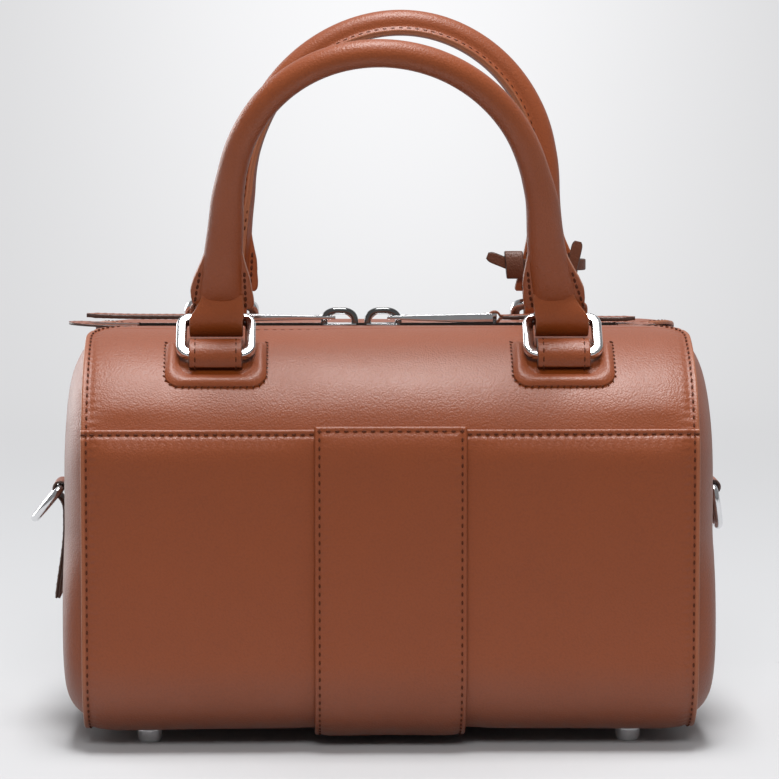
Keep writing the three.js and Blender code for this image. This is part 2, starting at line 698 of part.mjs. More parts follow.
function handleCover(skew) {
  const ends = [-1, 1].flatMap((side) => [
    slab(leafShape(), LEAF_THICKNESS, X, Z).translate(side * leafX, 0, 0),
    slab(foldShape(), STRAP_WIDTH, Y, Z).translate(side * ringX, 0, 0),
  ]);
  const tube = handleSweep(LEAF_WIDEST, HANDLE_STEPS, skew, tubeOutline);
  const hollow = roundOutline(CORE_RADIUS + CLEARANCE / Math.cos(Math.PI / CORE_SIDES));
  const [slitRoot, slitTip] = [CORE_RADIUS / 2, HANDLE_ROOT_HALF_WIDTH + HANDLE_LIP + HANDLE_RADIUS];
  const slitEdges = [[slitTip, -1], [slitTip, 1], [slitRoot, 1], [slitRoot, -1]];
  const slit = slitEdges.map(([reach, side]) => onLip(reach, (side * HANDLE_SEAM) / 2));
  const cavity = handleSweep(CORE_FOOT - CLEARANCE, HANDLE_STEPS, skew, () => hollow);
  const seam = handleSweep(CORE_FOOT, HANDLE_STEPS, skew, () => slit);
  return shapeOf(joined([tube, ...ends]).subtract(joined([cavity, seam])));
}

function handleCore(skew) {
  return handleSweep(CORE_FOOT, HANDLE_STEPS, skew, () => roundOutline(CORE_RADIUS));
}

function handleSet(prefix, turn, lean, skew, sides) {
  const set = new THREE.Group();
  set.rotation.z = turn;
  sides.forEach((side, i) => {
    const x = i === 0 ? -ringX : ringX;
    const place = new THREE.Vector3(x, ringBar.y, ringBar.z);
    addPiece(set, `${prefix}_${side}_ring_patch`, patchRidge(x), LEATHER);
    addPiece(set, `${prefix}_${side}_ring_loop`, ringLoop(), EDGE_LEATHER).position.copy(place);
    const ring = addPiece(set, `${prefix}_${side}_ring`, squareRing(), METAL);
    ring.position.copy(place);
    ring.rotation.x = -RING_TILT;
  });
  const handle = new THREE.Group();
  handle.position.copy(handleBar);
  handle.rotation.x = lean;
  addPiece(handle, `${prefix}_handle_cover`, handleCover(skew), LEATHER);
  addPiece(handle, `${prefix}_handle_core`, handleCore(skew), CORE);
  set.add(handle);
  bag.add(set);
  return handle;
}

handleSet("front", 0, FRONT_LEAN, FRONT_SKEW, ["left", "right"]);
const rearHandle = handleSet("rear", Math.PI, REAR_LEAN, -REAR_SKEW, ["right", "left"]);

// Lace: a loop close round the leg, its knot on the leg's inner side facing the front, and two short tails
function handleLace() {
  const halfX = LEAF_HALF_WIDTH + 3 * CLEARANCE;
  const overLeaf = LEAF_THICKNESS / 2 / Math.sqrt(1 - (LEAF_HALF_WIDTH / halfX) ** 2);
  const halfY = Math.max(HANDLE_ROOT_HALF_DEPTH, overLeaf) + 4 * CLEARANCE;
  const rings = Array.from({ length: LACE_STEPS }, (unused, step) => {
    const turn = (2 * Math.PI * step) / LACE_STEPS;
    const edges = [[1, -1], [1, 1], [0, 1], [0, -1]];
    return edges.map(([outer, edge]) => new THREE.Vector3(
      (halfX + outer * LACE_THICKNESS) * Math.cos(turn),
      (halfY + outer * LACE_THICKNESS) * Math.sin(turn),
      (edge * LACE_WIDTH) / 2,
    ));
  });
  const knot = new THREE.SphereGeometry(1, CURVE_STEPS + 2, CURVE_STEPS);
  knot.scale(LACE_KNOT / 2, LACE_KNOT_DEPTH / 2, LACE_KNOT_HEIGHT / 2);
  const tail = new THREE.BoxGeometry(LACE_TAIL, LACE_THICKNESS, LACE_WIDTH);
  const innerTail = tail.clone().rotateY(LACE_TAIL_DROOP).translate(LACE_TAIL / 2, 0, 0);
  const knotPlace = [halfX + LACE_THICKNESS, (LEAF_THICKNESS + LACE_KNOT_DEPTH) / 2, 0];
  const tailX = halfX - LACE_WIDTH / 2;
  const tailY = (halfY + LACE_THICKNESS) * Math.sqrt(1 - (tailX / (halfX + LACE_THICKNESS)) ** 2);
  const outerPlace = [-tailX, tailY, LACE_TAIL / 3];
  const outerTail = tail.clone().rotateY(LACE_TAIL_RISE).translate(...outerPlace);
  const ends = [knot.translate(...knotPlace), innerTail.translate(...knotPlace), outerTail];
  return shapeOf(joined([skin(rings, true), ...ends]));
}

const lace = addPiece(rearHandle, "rear_handle_lace", handleLace(), EDGE_LEATHER);
lace.position.set(-leafX, 0, LACE_HEIGHT);

// Zip tapes under the panel edges, and two facing rows of teeth with a channel for the sliders
const mouthHalfLength = BODY_HALF_LENGTH - CORNER_TRIM;
const zipLeft = -mouthHalfLength - ZIP_LEFT_OVERRUN;
const zipRight = mouthHalfLength - ZIP_RIGHT_SHORTFALL;
const teethTip = TEETH_CHANNEL / 2;
const teethRoot = teethTip + TOOTH_LENGTH;
const teethBack = teethRoot + TEETH_SPINE;
const tapeInner = teethBack + CLEARANCE;

function teethRow(offset) {
  const shape = new THREE.Shape();
  const [start, end] = [zipLeft + TEETH_SPINE, zipRight - TEETH_SPINE];
  shape.moveTo(start, -teethBack);
  shape.lineTo(end, -teethBack);
  shape.lineTo(end, -teethRoot);
  const count = Math.floor((end - start - TEETH_PITCH) / TEETH_PITCH);
  for (let tooth = count - 1; tooth >= 0; tooth -= 1) {
    const x = start + offset + tooth * TEETH_PITCH;
    shape.lineTo(x + TOOTH_WIDTH, -teethRoot);
    shape.lineTo(x + TOOTH_WIDTH, -teethTip);
    shape.lineTo(x, -teethTip);
    shape.lineTo(x, -teethRoot);
  }
  shape.lineTo(start, -teethRoot);
  return slab(shape, TEETH_HEIGHT, X, Y).translate(0, 0, teethMiddle);
}

const tape = () => block(zipLeft, zipRight, -seamHalf, -tapeInner, tapeBottom, tapeTop);
addPiece(bag, "front_zip_tape", tape(), TAPE);
addPiece(bag, "back_zip_tape", tape().translate(0, seamHalf + tapeInner, 0), TAPE);
addPiece(bag, "front_zip_teeth", teethRow(TEETH_PITCH / 4), METAL);
const backRow = teethRow(TEETH_PITCH / 4).rotateZ(Math.PI).translate(zipLeft + zipRight, 0, 0);
addPiece(bag, "back_zip_teeth", backRow, METAL);

// Leather end tabs over the ends of the zip
const tabBottom = teethTop + CLEARANCE;
const tabs = [
  ["left", zipLeft + TAB_OVERLAP, LEFT_TAB_LENGTH, Math.PI],
  ["right", zipRight - TAB_OVERLAP, RIGHT_TAB_LENGTH, 0],
];
tabs.forEach(([side, root, length, turn]) => {
  const shape = new THREE.Shape();
  shape.moveTo(0, -TAB_HALF_WIDTH);
  shape.lineTo(length - TAB_HALF_WIDTH, -TAB_HALF_WIDTH);
  shape.absarc(length - TAB_HALF_WIDTH, 0, TAB_HALF_WIDTH, -Math.PI / 2, Math.PI / 2, false);
  shape.lineTo(0, TAB_HALF_WIDTH);
  const tab = addPiece(bag, `${side}_zip_end_tab`, slab(shape, TAB_THICKNESS, X, Y), EDGE_LEATHER);
  tab.position.set(root, 0, tabBottom + TAB_THICKNESS / 2);
  tab.rotation.z = turn;
});

// Sliders, pulls and leather pull straps, each drawn running to +X and turned for the left side
const plateBottom = teethTop + CLEARANCE;
const plateTop = plateBottom + SLIDER_PLATE;
const underTop = teethBottom - CLEARANCE;
const underBottom = underTop - SLIDER_PLATE;
const crownHalf = (SLIDER_LENGTH - CROWN_BAR) / 2;
const pivotX = SLIDER_LENGTH / 2 - PULL_SETBACK;
const pivotZ = plateTop + PULL_RISE;

function zipSlider() {
  const [long, wide] = [SLIDER_LENGTH / 2, SLIDER_HALF_WIDTH];
  const taper = long - SLIDER_TAIL_TAPER;
  const half = [[-long, SLIDER_NOSE_HALF_WIDTH], [0, wide], [taper, wide], [long, SLIDER_TAIL_HALF_WIDTH]];
  const outline = [...half.map(([x, y]) => [x, -y]), ...half.reverse()];
  const shape = new THREE.Shape(outline.map(([x, y]) => new THREE.Vector2(x, y)));
  const plate = () => slab(shape, SLIDER_PLATE, X, Y);
  const upper = plate().translate(0, 0, plateBottom + SLIDER_PLATE / 2);
  const under = plate().translate(0, 0, underBottom + SLIDER_PLATE / 2);
  const sink = SLIDER_PLATE / 3;
  const [webLow, webHigh] = [underTop - sink, plateBottom + sink];
  const web = block(-long / 2, long / 2, -SLIDER_WEB / 2, SLIDER_WEB / 2, webLow, webHigh);
  const flanges = [-1, 1].flatMap((side) => {
    const [y0, y1] = [side * wide, side * (wide - SLIDER_FLANGE)].sort((a, b) => a - b);
    return [
      block(0, taper, y0, y1, tapeTop + CLEARANCE, webHigh),
      block(0, taper, y0, y1, webLow, tapeBottom - CLEARANCE),
    ];
  });
  const crownRings = Array.from({ length: CROWN_STEPS + 1 }, (unused, step) => {
    const turn = (Math.PI * step) / CROWN_STEPS;
    const edges = [[0, -1], [0, 1], [1, 1], [1, -1]];
    return edges.map(([outer, side]) => new THREE.Vector3(
      (crownHalf + (outer - 1) * CROWN_BAR + CROWN_BAR / 2) * Math.cos(turn),
      (side * CROWN_WIDTH) / 2,
      plateTop - sink + (CROWN_HEIGHT + sink + (outer - 1) * CROWN_BAR) * Math.sin(turn),
    ));
  });
  return shapeOf(joined([upper, under, web, ...flanges, skin(crownRings)]));
}

// Flat metal pull, with an eye round the crown at its root and a slot for the leather at its end
function metalPull() {
  const [wide, end] = [PULL_HALF_WIDTH, PULL_LENGTH];
  const root = -PULL_BAR / 2;
  const shape = new THREE.Shape();
  shape.moveTo(root, -wide);
  shape.lineTo(end - PULL_BAR, -wide);
  shape.lineTo(end, PULL_BAR - wide);
  shape.lineTo(end, wide - PULL_BAR);
  shape.lineTo(end - PULL_BAR, wide);
  shape.lineTo(root, wide);
  const eye = [PULL_BAR / 2, PULL_EYE, CROWN_WIDTH / 2 + BORE_CLEARANCE];
  const slot = [end - PULL_BAR - PULL_SLOT, PULL_SLOT, PULL_NECK / 2 + BORE_CLEARANCE];
  [eye, slot].forEach(([from, length, half]) => {
    const to = from + length;
    const corners = [[from, -half], [from, half], [to, half], [to, -half]];
    shape.holes.push(new THREE.Path(corners.map(([x, y]) => new THREE.Vector2(x, y))));
  });
  return slab(shape, PULL_THICKNESS, X, Y);
}

// Leather pull strap, folded round the bar at the end of the metal pull
function pullStrap() {
  const strapBore = Math.hypot(PULL_BAR, PULL_THICKNESS) / 2 + CLEARANCE;
  const radius = strapBore + PULL_STRAP_LEATHER;
  const neckEnd = PULL_BAR / 2 + BORE_CLEARANCE + radius;
  const neck = Math.asin(PULL_STRAP_LEATHER / radius);
  const fold = new THREE.Shape();
  fold.moveTo(neckEnd, PULL_STRAP_LEATHER);
  fold.absarc(0, 0, radius, neck, 2 * Math.PI - neck, false);
  fold.lineTo(neckEnd, -PULL_STRAP_LEATHER);
  fold.holes.push(circle(strapBore));
  const wide = PULL_STRAP_HALF_WIDTH;
  const tongue = new THREE.Shape();
  tongue.moveTo(neckEnd - PULL_STRAP_LEATHER, -wide);
  tongue.lineTo(PULL_STRAP_LENGTH - wide, -wide);
  tongue.lineTo(PULL_STRAP_LENGTH, 0);
  tongue.lineTo(PULL_STRAP_LENGTH - wide, wide);
  tongue.lineTo(neckEnd - PULL_STRAP_LEATHER, wide);
  return shapeOf(joined([slab(fold, PULL_NECK, X, Z), slab(tongue, 2 * PULL_STRAP_LEATHER, X, Y)]));
}

[["left", Math.PI, -1], ["right", 0, 1]].forEach(([side, turn, direction]) => {
  const centre = SLIDER_MEET + (direction * (SLIDER_GAP + SLIDER_LENGTH)) / 2;
  const slider = new THREE.Group();
  slider.position.x = centre;
  slider.rotation.z = turn;
  addPiece(slider, `${side}_zip_slider`, zipSlider(), METAL);
  addPiece(slider, `${side}_zip_pull`, metalPull(), METAL).position.set(pivotX, 0, pivotZ);
  const barX = pivotX + PULL_LENGTH - PULL_BAR / 2;
  addPiece(slider, `${side}_pull_strap`, pullStrap(), EDGE_LEATHER).position.set(barX, 0, pivotZ);
  bag.add(slider);
});

// Leather tab and ring on each end
const sideBore = SIDE_RING_RADIUS + BORE_CLEARANCE;
const sideRadius = sideBore + SIDE_TAB_LEATHER;
const sideBarX = endReach + CLEARANCE + sideRadius;

function sideTab() {
  const [inner, outer] = [-sideRadius, 2 * SIDE_TAB_LEATHER - sideRadius];
  const drop = SIDE_TAB_TOP - SIDE_TAB_BOTTOM;
  const shape = new THREE.Shape();
  shape.moveTo(inner, 0);
  shape.lineTo(inner, -drop);
  shape.lineTo(outer - SIDE_TAB_LEATHER, -drop);
  shape.lineTo(outer, SIDE_TAB_LEATHER - drop);
  shape.lineTo(outer, -sideRadius - SIDE_TAB_LEATHER);
  shape.lineTo(sideRadius * Math.cos(SIDE_TAB_FALL), sideRadius * Math.sin(SIDE_TAB_FALL));
  shape.absarc(0, 0, sideRadius, SIDE_TAB_FALL, Math.PI, false);
  shape.holes.push(circle(sideBore));
  return slab(shape, SIDE_TAB_WIDTH, X, Z);
}

// End ring with a straight bar on the local Y axis and a round bow that hangs below it
function sideRing() {
  const half = SIDE_TAB_WIDTH / 2 + SIDE_RING_CLEARANCE + SIDE_RING_RADIUS;
  const round = SIDE_RING_CORNER;
  const path = new THREE.Path();
  path.moveTo(round - half, 0);
  path.lineTo(half - round, 0);
  path.quadraticCurveTo(half, 0, half, -round);
  path.absellipse(0, -round, half, SIDE_RING_DROP - round, 0, -Math.PI, true, 0);
  path.quadraticCurveTo(-half, 0, round - half, 0);
  const width = 2 * SIDE_RING_RADIUS;
  const chamfer = SIDE_RING_RADIUS * (2 - Math.SQRT2);
  return bentRod(path, SIDE_RING_STEPS, width, width, chamfer).rotateZ(Math.PI / 2);
}

const ends = [["right", 0, RIGHT_SIDE_RING_SWING], ["left", Math.PI, LEFT_SIDE_RING_SWING]];
ends.forEach(([side, turn, swing]) => {
  const end = new THREE.Group();
  end.rotation.z = turn;
  addPiece(end, `${side}_side_tab`, sideTab(), EDGE_LEATHER).position.set(sideBarX, 0, SIDE_TAB_TOP);
  const ring = addPiece(end, `${side}_side_ring`, sideRing(), METAL);
  ring.position.set(sideBarX, 0, SIDE_TAB_TOP);
  ring.rotation.y = -swing;
  bag.add(end);
});

export default bag;
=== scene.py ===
import math

import bmesh
import bpy
import numpy as np
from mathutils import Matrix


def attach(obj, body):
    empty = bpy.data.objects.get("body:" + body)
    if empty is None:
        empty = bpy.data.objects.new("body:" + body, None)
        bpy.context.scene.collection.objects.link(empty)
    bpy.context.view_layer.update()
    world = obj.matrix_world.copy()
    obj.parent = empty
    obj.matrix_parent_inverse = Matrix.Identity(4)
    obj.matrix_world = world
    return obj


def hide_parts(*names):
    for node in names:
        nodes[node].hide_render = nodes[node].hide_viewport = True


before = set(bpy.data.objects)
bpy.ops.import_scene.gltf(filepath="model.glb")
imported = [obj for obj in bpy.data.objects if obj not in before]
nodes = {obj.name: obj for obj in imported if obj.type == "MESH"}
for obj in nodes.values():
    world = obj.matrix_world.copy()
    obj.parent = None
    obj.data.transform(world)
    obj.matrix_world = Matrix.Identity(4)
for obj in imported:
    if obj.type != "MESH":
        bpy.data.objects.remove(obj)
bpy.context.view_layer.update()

# Studio. A pale seamless floor sweeps up behind the bag, which stands under soft lamps above and in front,
# with a weak one behind its left end. The floor darkens ahead of the bag, and the sweep is clear from
# behind. The camera stands before the bag, a little above its rings and a little to its left.
CAMERA_PLACE = (-0.0296, -1.5, 0.258)
CAMERA_PITCH = math.radians(4.97)
CAMERA_YAW = math.radians(1.17)
CAMERA_LENS = 177.84
FLOOR_HEIGHT = -0.0036
FLOOR_FRONT = -1.15
FLOOR_BACK = 1.2
FLOOR_HALF_WIDTH = 3.0
SWEEP_RADIUS = 0.6
WALL_START = 0.4
WALL_END = FLOOR_BACK + SWEEP_RADIUS
WALL_HEIGHT = 2.6
FLOOR_COLOUR = (0.535, 0.538, 0.548, 1)
FLOOR_BOUNCE = (0.28, 0.28, 0.285, 1)
# Painted shade: the floor's colour turns to this dark grey ahead of the bag, between SHADE_START and
# SHADE_END.
FLOOR_SHADED = (0.10, 0.10, 0.102, 1)
SHADE_START = -0.2
SHADE_END = -0.4
WALL_COLOUR = (0.08, 0.08, 0.081, 1)
# The wall glows as painted light, brightest behind the bag and dimmer towards its sides.
WALL_GLOW = (0.985, 0.985, 1.0, 1)
GLOW_EDGE = 0.60
GLOW_MIDDLE = 0.90
GLOW_SHARE = 0.45
GLOW_CENTRE = (0.04, 1.8, 0.46)
GLOW_SPREAD = (2.9, 1.0, 1.3)
GLOW_REACH = 1.3
SKY_COLOUR = (0.98, 0.985, 1.0, 1)
SKY_LIGHT = 0.25

scene = bpy.context.scene
scene.view_settings.view_transform = "Standard"
camera_data = bpy.data.cameras.new("photo_camera")
camera_data.lens = CAMERA_LENS
camera = bpy.data.objects.new("photo_camera", camera_data)
camera.location = CAMERA_PLACE
camera.rotation_euler = (math.pi / 2 - CAMERA_PITCH, 0, -CAMERA_YAW)
scene.collection.objects.link(camera)
scene.camera = camera


def feed(tree, node, values):
    for label, value in values.items():
        if isinstance(value, bpy.types.NodeSocket):
            tree.links.new(value, node.inputs[label])
        else:
            node.inputs[label].default_value = value


def add_node(tree, kind, inputs=None, **settings):
    node = tree.nodes.new(kind)
    for key, value in settings.items():
        setattr(node, key, value)
    feed(tree, node, inputs or {})
    return node


def object_place(tree):
    return add_node(tree, "ShaderNodeTexCoord").outputs["Object"]


def blended(tree, share, low, high):
    ends = {"Factor": share, "A": low, "B": high}
    return add_node(tree, "ShaderNodeMix", ends, data_type="RGBA").outputs[2]


def ranged(tree, value, low, high, start, stop, **settings):
    ends = {"Value": value, "From Min": low, "From Max": high, "To Min": start, "To Max": stop}
    return add_node(tree, "ShaderNodeMapRange", ends, **settings).outputs[0]


def sums(tree, operation, *values, **settings):
    inputs = dict(enumerate(values))
    return add_node(tree, "ShaderNodeMath", inputs, operation=operation, **settings).outputs[0]


def vectors(tree, operation, *values, output=0):
    inputs = dict(enumerate(values))
    return add_node(tree, "ShaderNodeVectorMath", inputs, operation=operation).outputs[output]


def new_material(name):
    material = bpy.data.materials.new(name)
    material.use_nodes = True
    tree = material.node_tree
    return material, tree, tree.nodes["Principled BSDF"]


def placed(name, mesh):
    piece = bpy.data.objects.new(name, mesh)
    scene.collection.objects.link(piece)
    return piece


def mesh_object(name, points, faces, material):
    mesh = bpy.data.meshes.new(name)
    mesh.from_pydata([tuple(p) for p in points], [], [tuple(f) for f in faces])
    mesh.materials.append(material)
    mesh.shade_smooth()
    return placed(name, mesh)


def backdrop_paper():
    material, tree, shader = new_material("backdrop_paper")
    place = object_place(tree)
    far = add_node(tree, "ShaderNodeSeparateXYZ", {0: place}).outputs["Y"]
    smooth = {"interpolation_type": "SMOOTHSTEP"}
    wall = ranged(tree, far, WALL_START, WALL_END, 0.0, 1.0, **smooth)
    away = vectors(tree, "MULTIPLY", vectors(tree, "SUBTRACT", place, GLOW_CENTRE), GLOW_SPREAD)
    away = vectors(tree, "LENGTH", away, output="Value")
    glow = ranged(tree, away, 0.0, GLOW_REACH, GLOW_MIDDLE, GLOW_EDGE, **smooth)
    bounce = add_node(tree, "ShaderNodeLightPath").outputs["Is Diffuse Ray"]
    share = ranged(tree, bounce, 0.0, 1.0, 1.0, GLOW_SHARE)
    near = ranged(tree, far, SHADE_END, SHADE_START, 0.0, 1.0, **smooth)
    floor = blended(tree, near, FLOOR_SHADED, blended(tree, bounce, FLOOR_COLOUR, FLOOR_BOUNCE))
    behind = add_node(tree, "ShaderNodeNewGeometry").outputs["Backfacing"]
    feed(tree, shader, {
        "Base Color": blended(tree, wall, floor, WALL_COLOUR),
        "Emission Strength": sums(tree, "MULTIPLY", sums(tree, "MULTIPLY", glow, wall), share),
        "Emission Color": WALL_GLOW, "Alpha": ranged(tree, behind, 0.0, 1.0, 1.0, 0.0), "Roughness": 0.9,
        "Specular IOR Level": 0.1})
    return material


bend = np.linspace(0, math.pi / 2, 25)
sweep_y = [FLOOR_FRONT, *(FLOOR_BACK + SWEEP_RADIUS * np.sin(bend)), WALL_END]
sweep_z = [0, *(SWEEP_RADIUS - SWEEP_RADIUS * np.cos(bend)), WALL_HEIGHT]
points = [(x, y, FLOOR_HEIGHT + z) for y, z in zip(sweep_y, sweep_z)
          for x in (-FLOOR_HALF_WIDTH, FLOOR_HALF_WIDTH)]
faces = [(2 * i, 2 * i + 1, 2 * i + 3, 2 * i + 2) for i in range(len(sweep_y) - 1)]
mesh_object("backdrop", points, faces, backdrop_paper())


def soft_lamp(name, place, aim, size, watts, glossy=True, diffuse=True):
    data = bpy.data.lights.new(name, "AREA")
    data.shape = "RECTANGLE"
    data.size, data.size_y = size
    data.energy = watts
    lamp = placed(name, data)
    lamp.location = place
    x, y, z = np.array(place) - np.array(aim)
    lamp.rotation_euler = (math.atan2(math.hypot(x, y), z), 0, math.atan2(x, -y))
    lamp.visible_glossy = glossy
    lamp.visible_diffuse = diffuse


soft_lamp("top_softbox", place=(0, -0.5, 4.0), aim=(0, -0.03, 0.1), size=(1.2, 2.1), watts=178)
soft_lamp("front_softbox", place=(-0.05, -2.2, 1.35), aim=(0, 0, 0.12), size=(0.8, 0.6), watts=29,
          glossy=False)
soft_lamp("left_rim", place=(-1.1, 1.1, 0.35), aim=(0, 0, 0.08), size=(0.6, 1.0), watts=12, diffuse=False)
world = bpy.data.worlds.new("studio_air")
world.use_nodes = True
feed(world.node_tree, world.node_tree.nodes["Background"], {"Color": SKY_COLOUR, "Strength": SKY_LIGHT})
scene.world = world

# Stiffener and base board. Grey-brown fibre board, cut to the body and glued inside the leather, with a
# thicker board over the base that the feet are riveted through. They are hidden inside the bag.
BOARD_LIGHT = (0.30, 0.22, 0.15, 1)
BOARD_DARK = (0.19, 0.13, 0.085, 1)


def bumped(tree, height, strength, distance):
    bump = add_node(tree, "ShaderNodeBump", {"Height": height, "Strength": strength, "Distance": distance})
    return bump.outputs["Normal"]


def noise(tree, place, **values):
    return add_node(tree, "ShaderNodeTexNoise", {"Vector": place, **values})


def dress(node, material):
    nodes[node].material_slots[0].material = material


fibre_board, tree, shader = new_material("fibre_board")
fibres = noise(tree, object_place(tree), Scale=900, Detail=4.0).outputs["Fac"]
feed(tree, shader, {"Base Color": blended(tree, fibres, BOARD_DARK, BOARD_LIGHT), "Roughness": 0.85,
                    "Normal": bumped(tree, fibres, strength=0.4, distance=0.0002)})
dress("body_stiffener", fibre_board)
dress("base_board", fibre_board)

# Feet and their washers. Turned brass studs with a bright plated finish: a short stud with a rounded edge
# below the base, and a shank through panel and board that is riveted over a washer inside.
MM = 0.001
FOOT_X = 91.5
FOOT_Y = 42
FOOT_PROFILE = [
    (0, -3.6), (3.1, -3.58), (4.0, -3.4), (4.4, -2.9), (4.6, -2.2), (4.75, -1.0), (4.8, 0.6), (4.8, 1.6),
    (4.5, 2.2), (4.0, 2.6), (3.4, 2.75), (1.6, 2.8), (1.5, 3.0), (1.5, 9.9), (0, 9.9),
]
FOOT_SIDES = 40
FOOT_METALLIC = 0.4
METAL_BRIGHT = (0.83, 0.835, 0.845, 1)
METAL_WORN = (0.70, 0.70, 0.71, 1)


def shader_group(name, colours, sizes, outputs):
    group = bpy.data.node_groups.new(name, "ShaderNodeTree")
    for labels, kind in ((colours, "NodeSocketColor"), (sizes, "NodeSocketFloat")):
        for label in labels:
            group.interface.new_socket(label, in_out="INPUT", socket_type=kind)
    for label in outputs:
        kind = "NodeSocketColor" if label == "Colour" else "NodeSocketFloat"
        group.interface.new_socket(label, in_out="OUTPUT", socket_type=kind)
    given = group.nodes.new("NodeGroupInput").outputs
    return group, given, group.nodes.new("NodeGroupOutput")


def metal_polish():
    group, given, result = shader_group("metal_polish", ("Worn", "Bright"), (), ("Colour", "Roughness"))
    polish = noise(group, object_place(group), Scale=260.0, Detail=5.0, Roughness=0.65).outputs["Fac"]
    feed(group, result, {"Colour": blended(group, polish, given["Worn"], given["Bright"]),
                         "Roughness": ranged(group, polish, 0.0, 1.0, 0.07, 0.19)})
    return group


polish_group = metal_polish()


def plated(name, worn, bright, metallic=1.0):
    material, tree, shader = new_material(name)
    finish = add_node(tree, "ShaderNodeGroup", node_tree=polish_group)
    feed(tree, finish, {"Worn": worn, "Bright": bright})
    feed(tree, shader, {"Base Color": finish.outputs["Colour"], "Roughness": finish.outputs["Roughness"],
                        "Metallic": metallic})
    return material


polished_metal = plated("polished_metal", METAL_WORN, METAL_BRIGHT)
foot_metal = plated("foot_metal", METAL_WORN, METAL_BRIGHT, FOOT_METALLIC)


def volume_of(points, faces):
    fans = np.array([(face[0], b, c) for face in faces for b, c in zip(face[1:-1], face[2:])])
    first, second, third = (points[fans[:, i]] for i in range(3))
    return np.einsum("ij,ij->", first, np.cross(second, third))


def joined(piece, body, node=None):
    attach(piece, body)
    if node:
        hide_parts(node)
    return piece


def closed_piece(name, points, faces, material, body, node=None, sharp=40):
    points = np.asarray(points, float) * MM
    if volume_of(points, faces) < 0:
        faces = [tuple(reversed(f)) for f in faces]
    piece = mesh_object(name, points, faces, material)
    piece.data.set_sharp_from_angle(angle=math.radians(sharp))
    return joined(piece, body, node)


def loft(rings, looped=False):
    rings = np.asarray(rings, float)
    rows, count = rings.shape[:2]
    faces = []
    for i in range(rows if looped else rows - 1):
        below = ((i + 1) % rows) * count
        for j in range(count):
            k = (j + 1) % count
            faces.append((i * count + j, i * count + k, below + k, below + j))
    if not looped:
        faces.append(tuple(reversed(range(count))))
        faces.append(tuple((rows - 1) * count + j for j in range(count)))
    return rings.reshape(-1, 3), faces


def turned(profile, sides):
    turns = np.linspace(0, 2 * math.pi, sides, endpoint=False)
    points = [(r * math.cos(t), r * math.sin(t), z) for r, z in profile[1:-1] for t in turns]
    points = np.array([(0, 0, profile[0][1]), *points, (0, 0, profile[-1][1])])
    rows = len(profile) - 2
    faces = []
    for side in range(sides):
        this = 1 + side + sides * np.arange(rows)
        then = 1 + (side + 1) % sides + sides * np.arange(rows)
        faces.append((0, then[0], this[0]))
        faces.append((len(points) - 1, this[-1], then[-1]))
        faces += [(this[row], then[row], then[row + 1], this[row + 1]) for row in range(rows - 1)]
    return points, faces


foot_points, foot_faces = turned(FOOT_PROFILE, FOOT_SIDES)
for corner, side_x, side_y in (("front_left", -1, -1), ("front_right", 1, -1),
                               ("rear_left", -1, 1), ("rear_right", 1, 1)):
    points = foot_points + np.array([side_x * FOOT_X, side_y * FOOT_Y, 0])
    closed_piece(f"{corner}_foot_stud", points, foot_faces, foot_metal, "bag",
                 f"{corner}_foot")
    dress(f"{corner}_foot_washer", polished_metal)

# Lining. Dark brown cotton twill, cut to the body and to the ends, sewn in along the zip and the end seams.
# It follows the inside of the panels and lies over the base board.
BODY_HALF_LENGTH = 115.5
BODY_TOP = 153.4
BODY_BASE = 5.0
BODY_HALF_DEPTH = 74.0
MOUTH_EDGE = 10.0
SHOULDER_START = 16.0
SHOULDER_HEIGHT = 46.0
BASE_CORNER = 24.0
CORNER_TRIM = 12.0
CORNER_TRIM_RUN = 25.0
LINING_DEPTH = 1.9
LINING_CLOTH = 0.6
LINING_LIFT = 3.9
LINING_HALF_LENGTH = 110.5
LINING_START = 6.3
END_REACH = 124.0
END_TUCK = 2.0
END_LINING_DEPTH = 2.1
END_DIP = 1.7
END_DIP_START = SHOULDER_START - MOUTH_EDGE + 0.3
END_DIP_END = SHOULDER_START - MOUTH_EDGE + 12.0
END_MIDDLE = (BODY_BASE + BODY_TOP) / 2
END_ROUNDING = 6
END_BASE_ROUNDING = 14
END_BASE_RUN = 45
TWILL_DARK = (0.022, 0.014, 0.010, 1)
TWILL_LIGHT = (0.060, 0.038, 0.028, 1)
TWILL_THREADS = 600


def body_section():
    shoulder_reach = BODY_HALF_DEPTH - SHOULDER_START
    shoulder_z = BODY_TOP - SHOULDER_HEIGHT
    flat = BODY_HALF_DEPTH - BASE_CORNER
    corner_z = BODY_BASE + BASE_CORNER
    rows = [(y, BODY_TOP, 0, 1) for y in np.linspace(-MOUTH_EDGE, -SHOULDER_START, 40)]
    for turn in np.linspace(math.pi / 2, math.pi, 500)[1:]:
        out = np.array([math.cos(turn) / shoulder_reach, math.sin(turn) / SHOULDER_HEIGHT])
        out /= np.linalg.norm(out)
        rows.append((shoulder_reach * math.cos(turn) - SHOULDER_START,
                     shoulder_z + SHOULDER_HEIGHT * math.sin(turn), *out))
    for turn in np.linspace(math.pi, 1.5 * math.pi, 300):
        out = (math.cos(turn), math.sin(turn))
        rows.append((BASE_CORNER * out[0] - flat, corner_z + BASE_CORNER * out[1], *out))
    half = np.array(rows)
    whole = np.vstack([half, half[::-1] * np.array([-1, 1, -1, 1])])
    steps = np.hypot(np.diff(whole[:, 0]), np.diff(whole[:, 1]))
    return np.concatenate([[0], np.cumsum(steps)]), whole


section_s, section_rows = body_section()
GIRTH = section_s[-1]
front_half = section_s < GIRTH / 2


def station_at(height):
    return np.interp(-height, -section_rows[front_half, 1], section_s[front_half])


def on_body(x, s, height):
    y, z, out_y, out_z = (np.interp(s, section_s, section_rows[:, i]) for i in range(4))
    x, y, z = np.broadcast_arrays(x, y + out_y * height, z + out_z * height)
    return np.stack([x, y, z], -1)


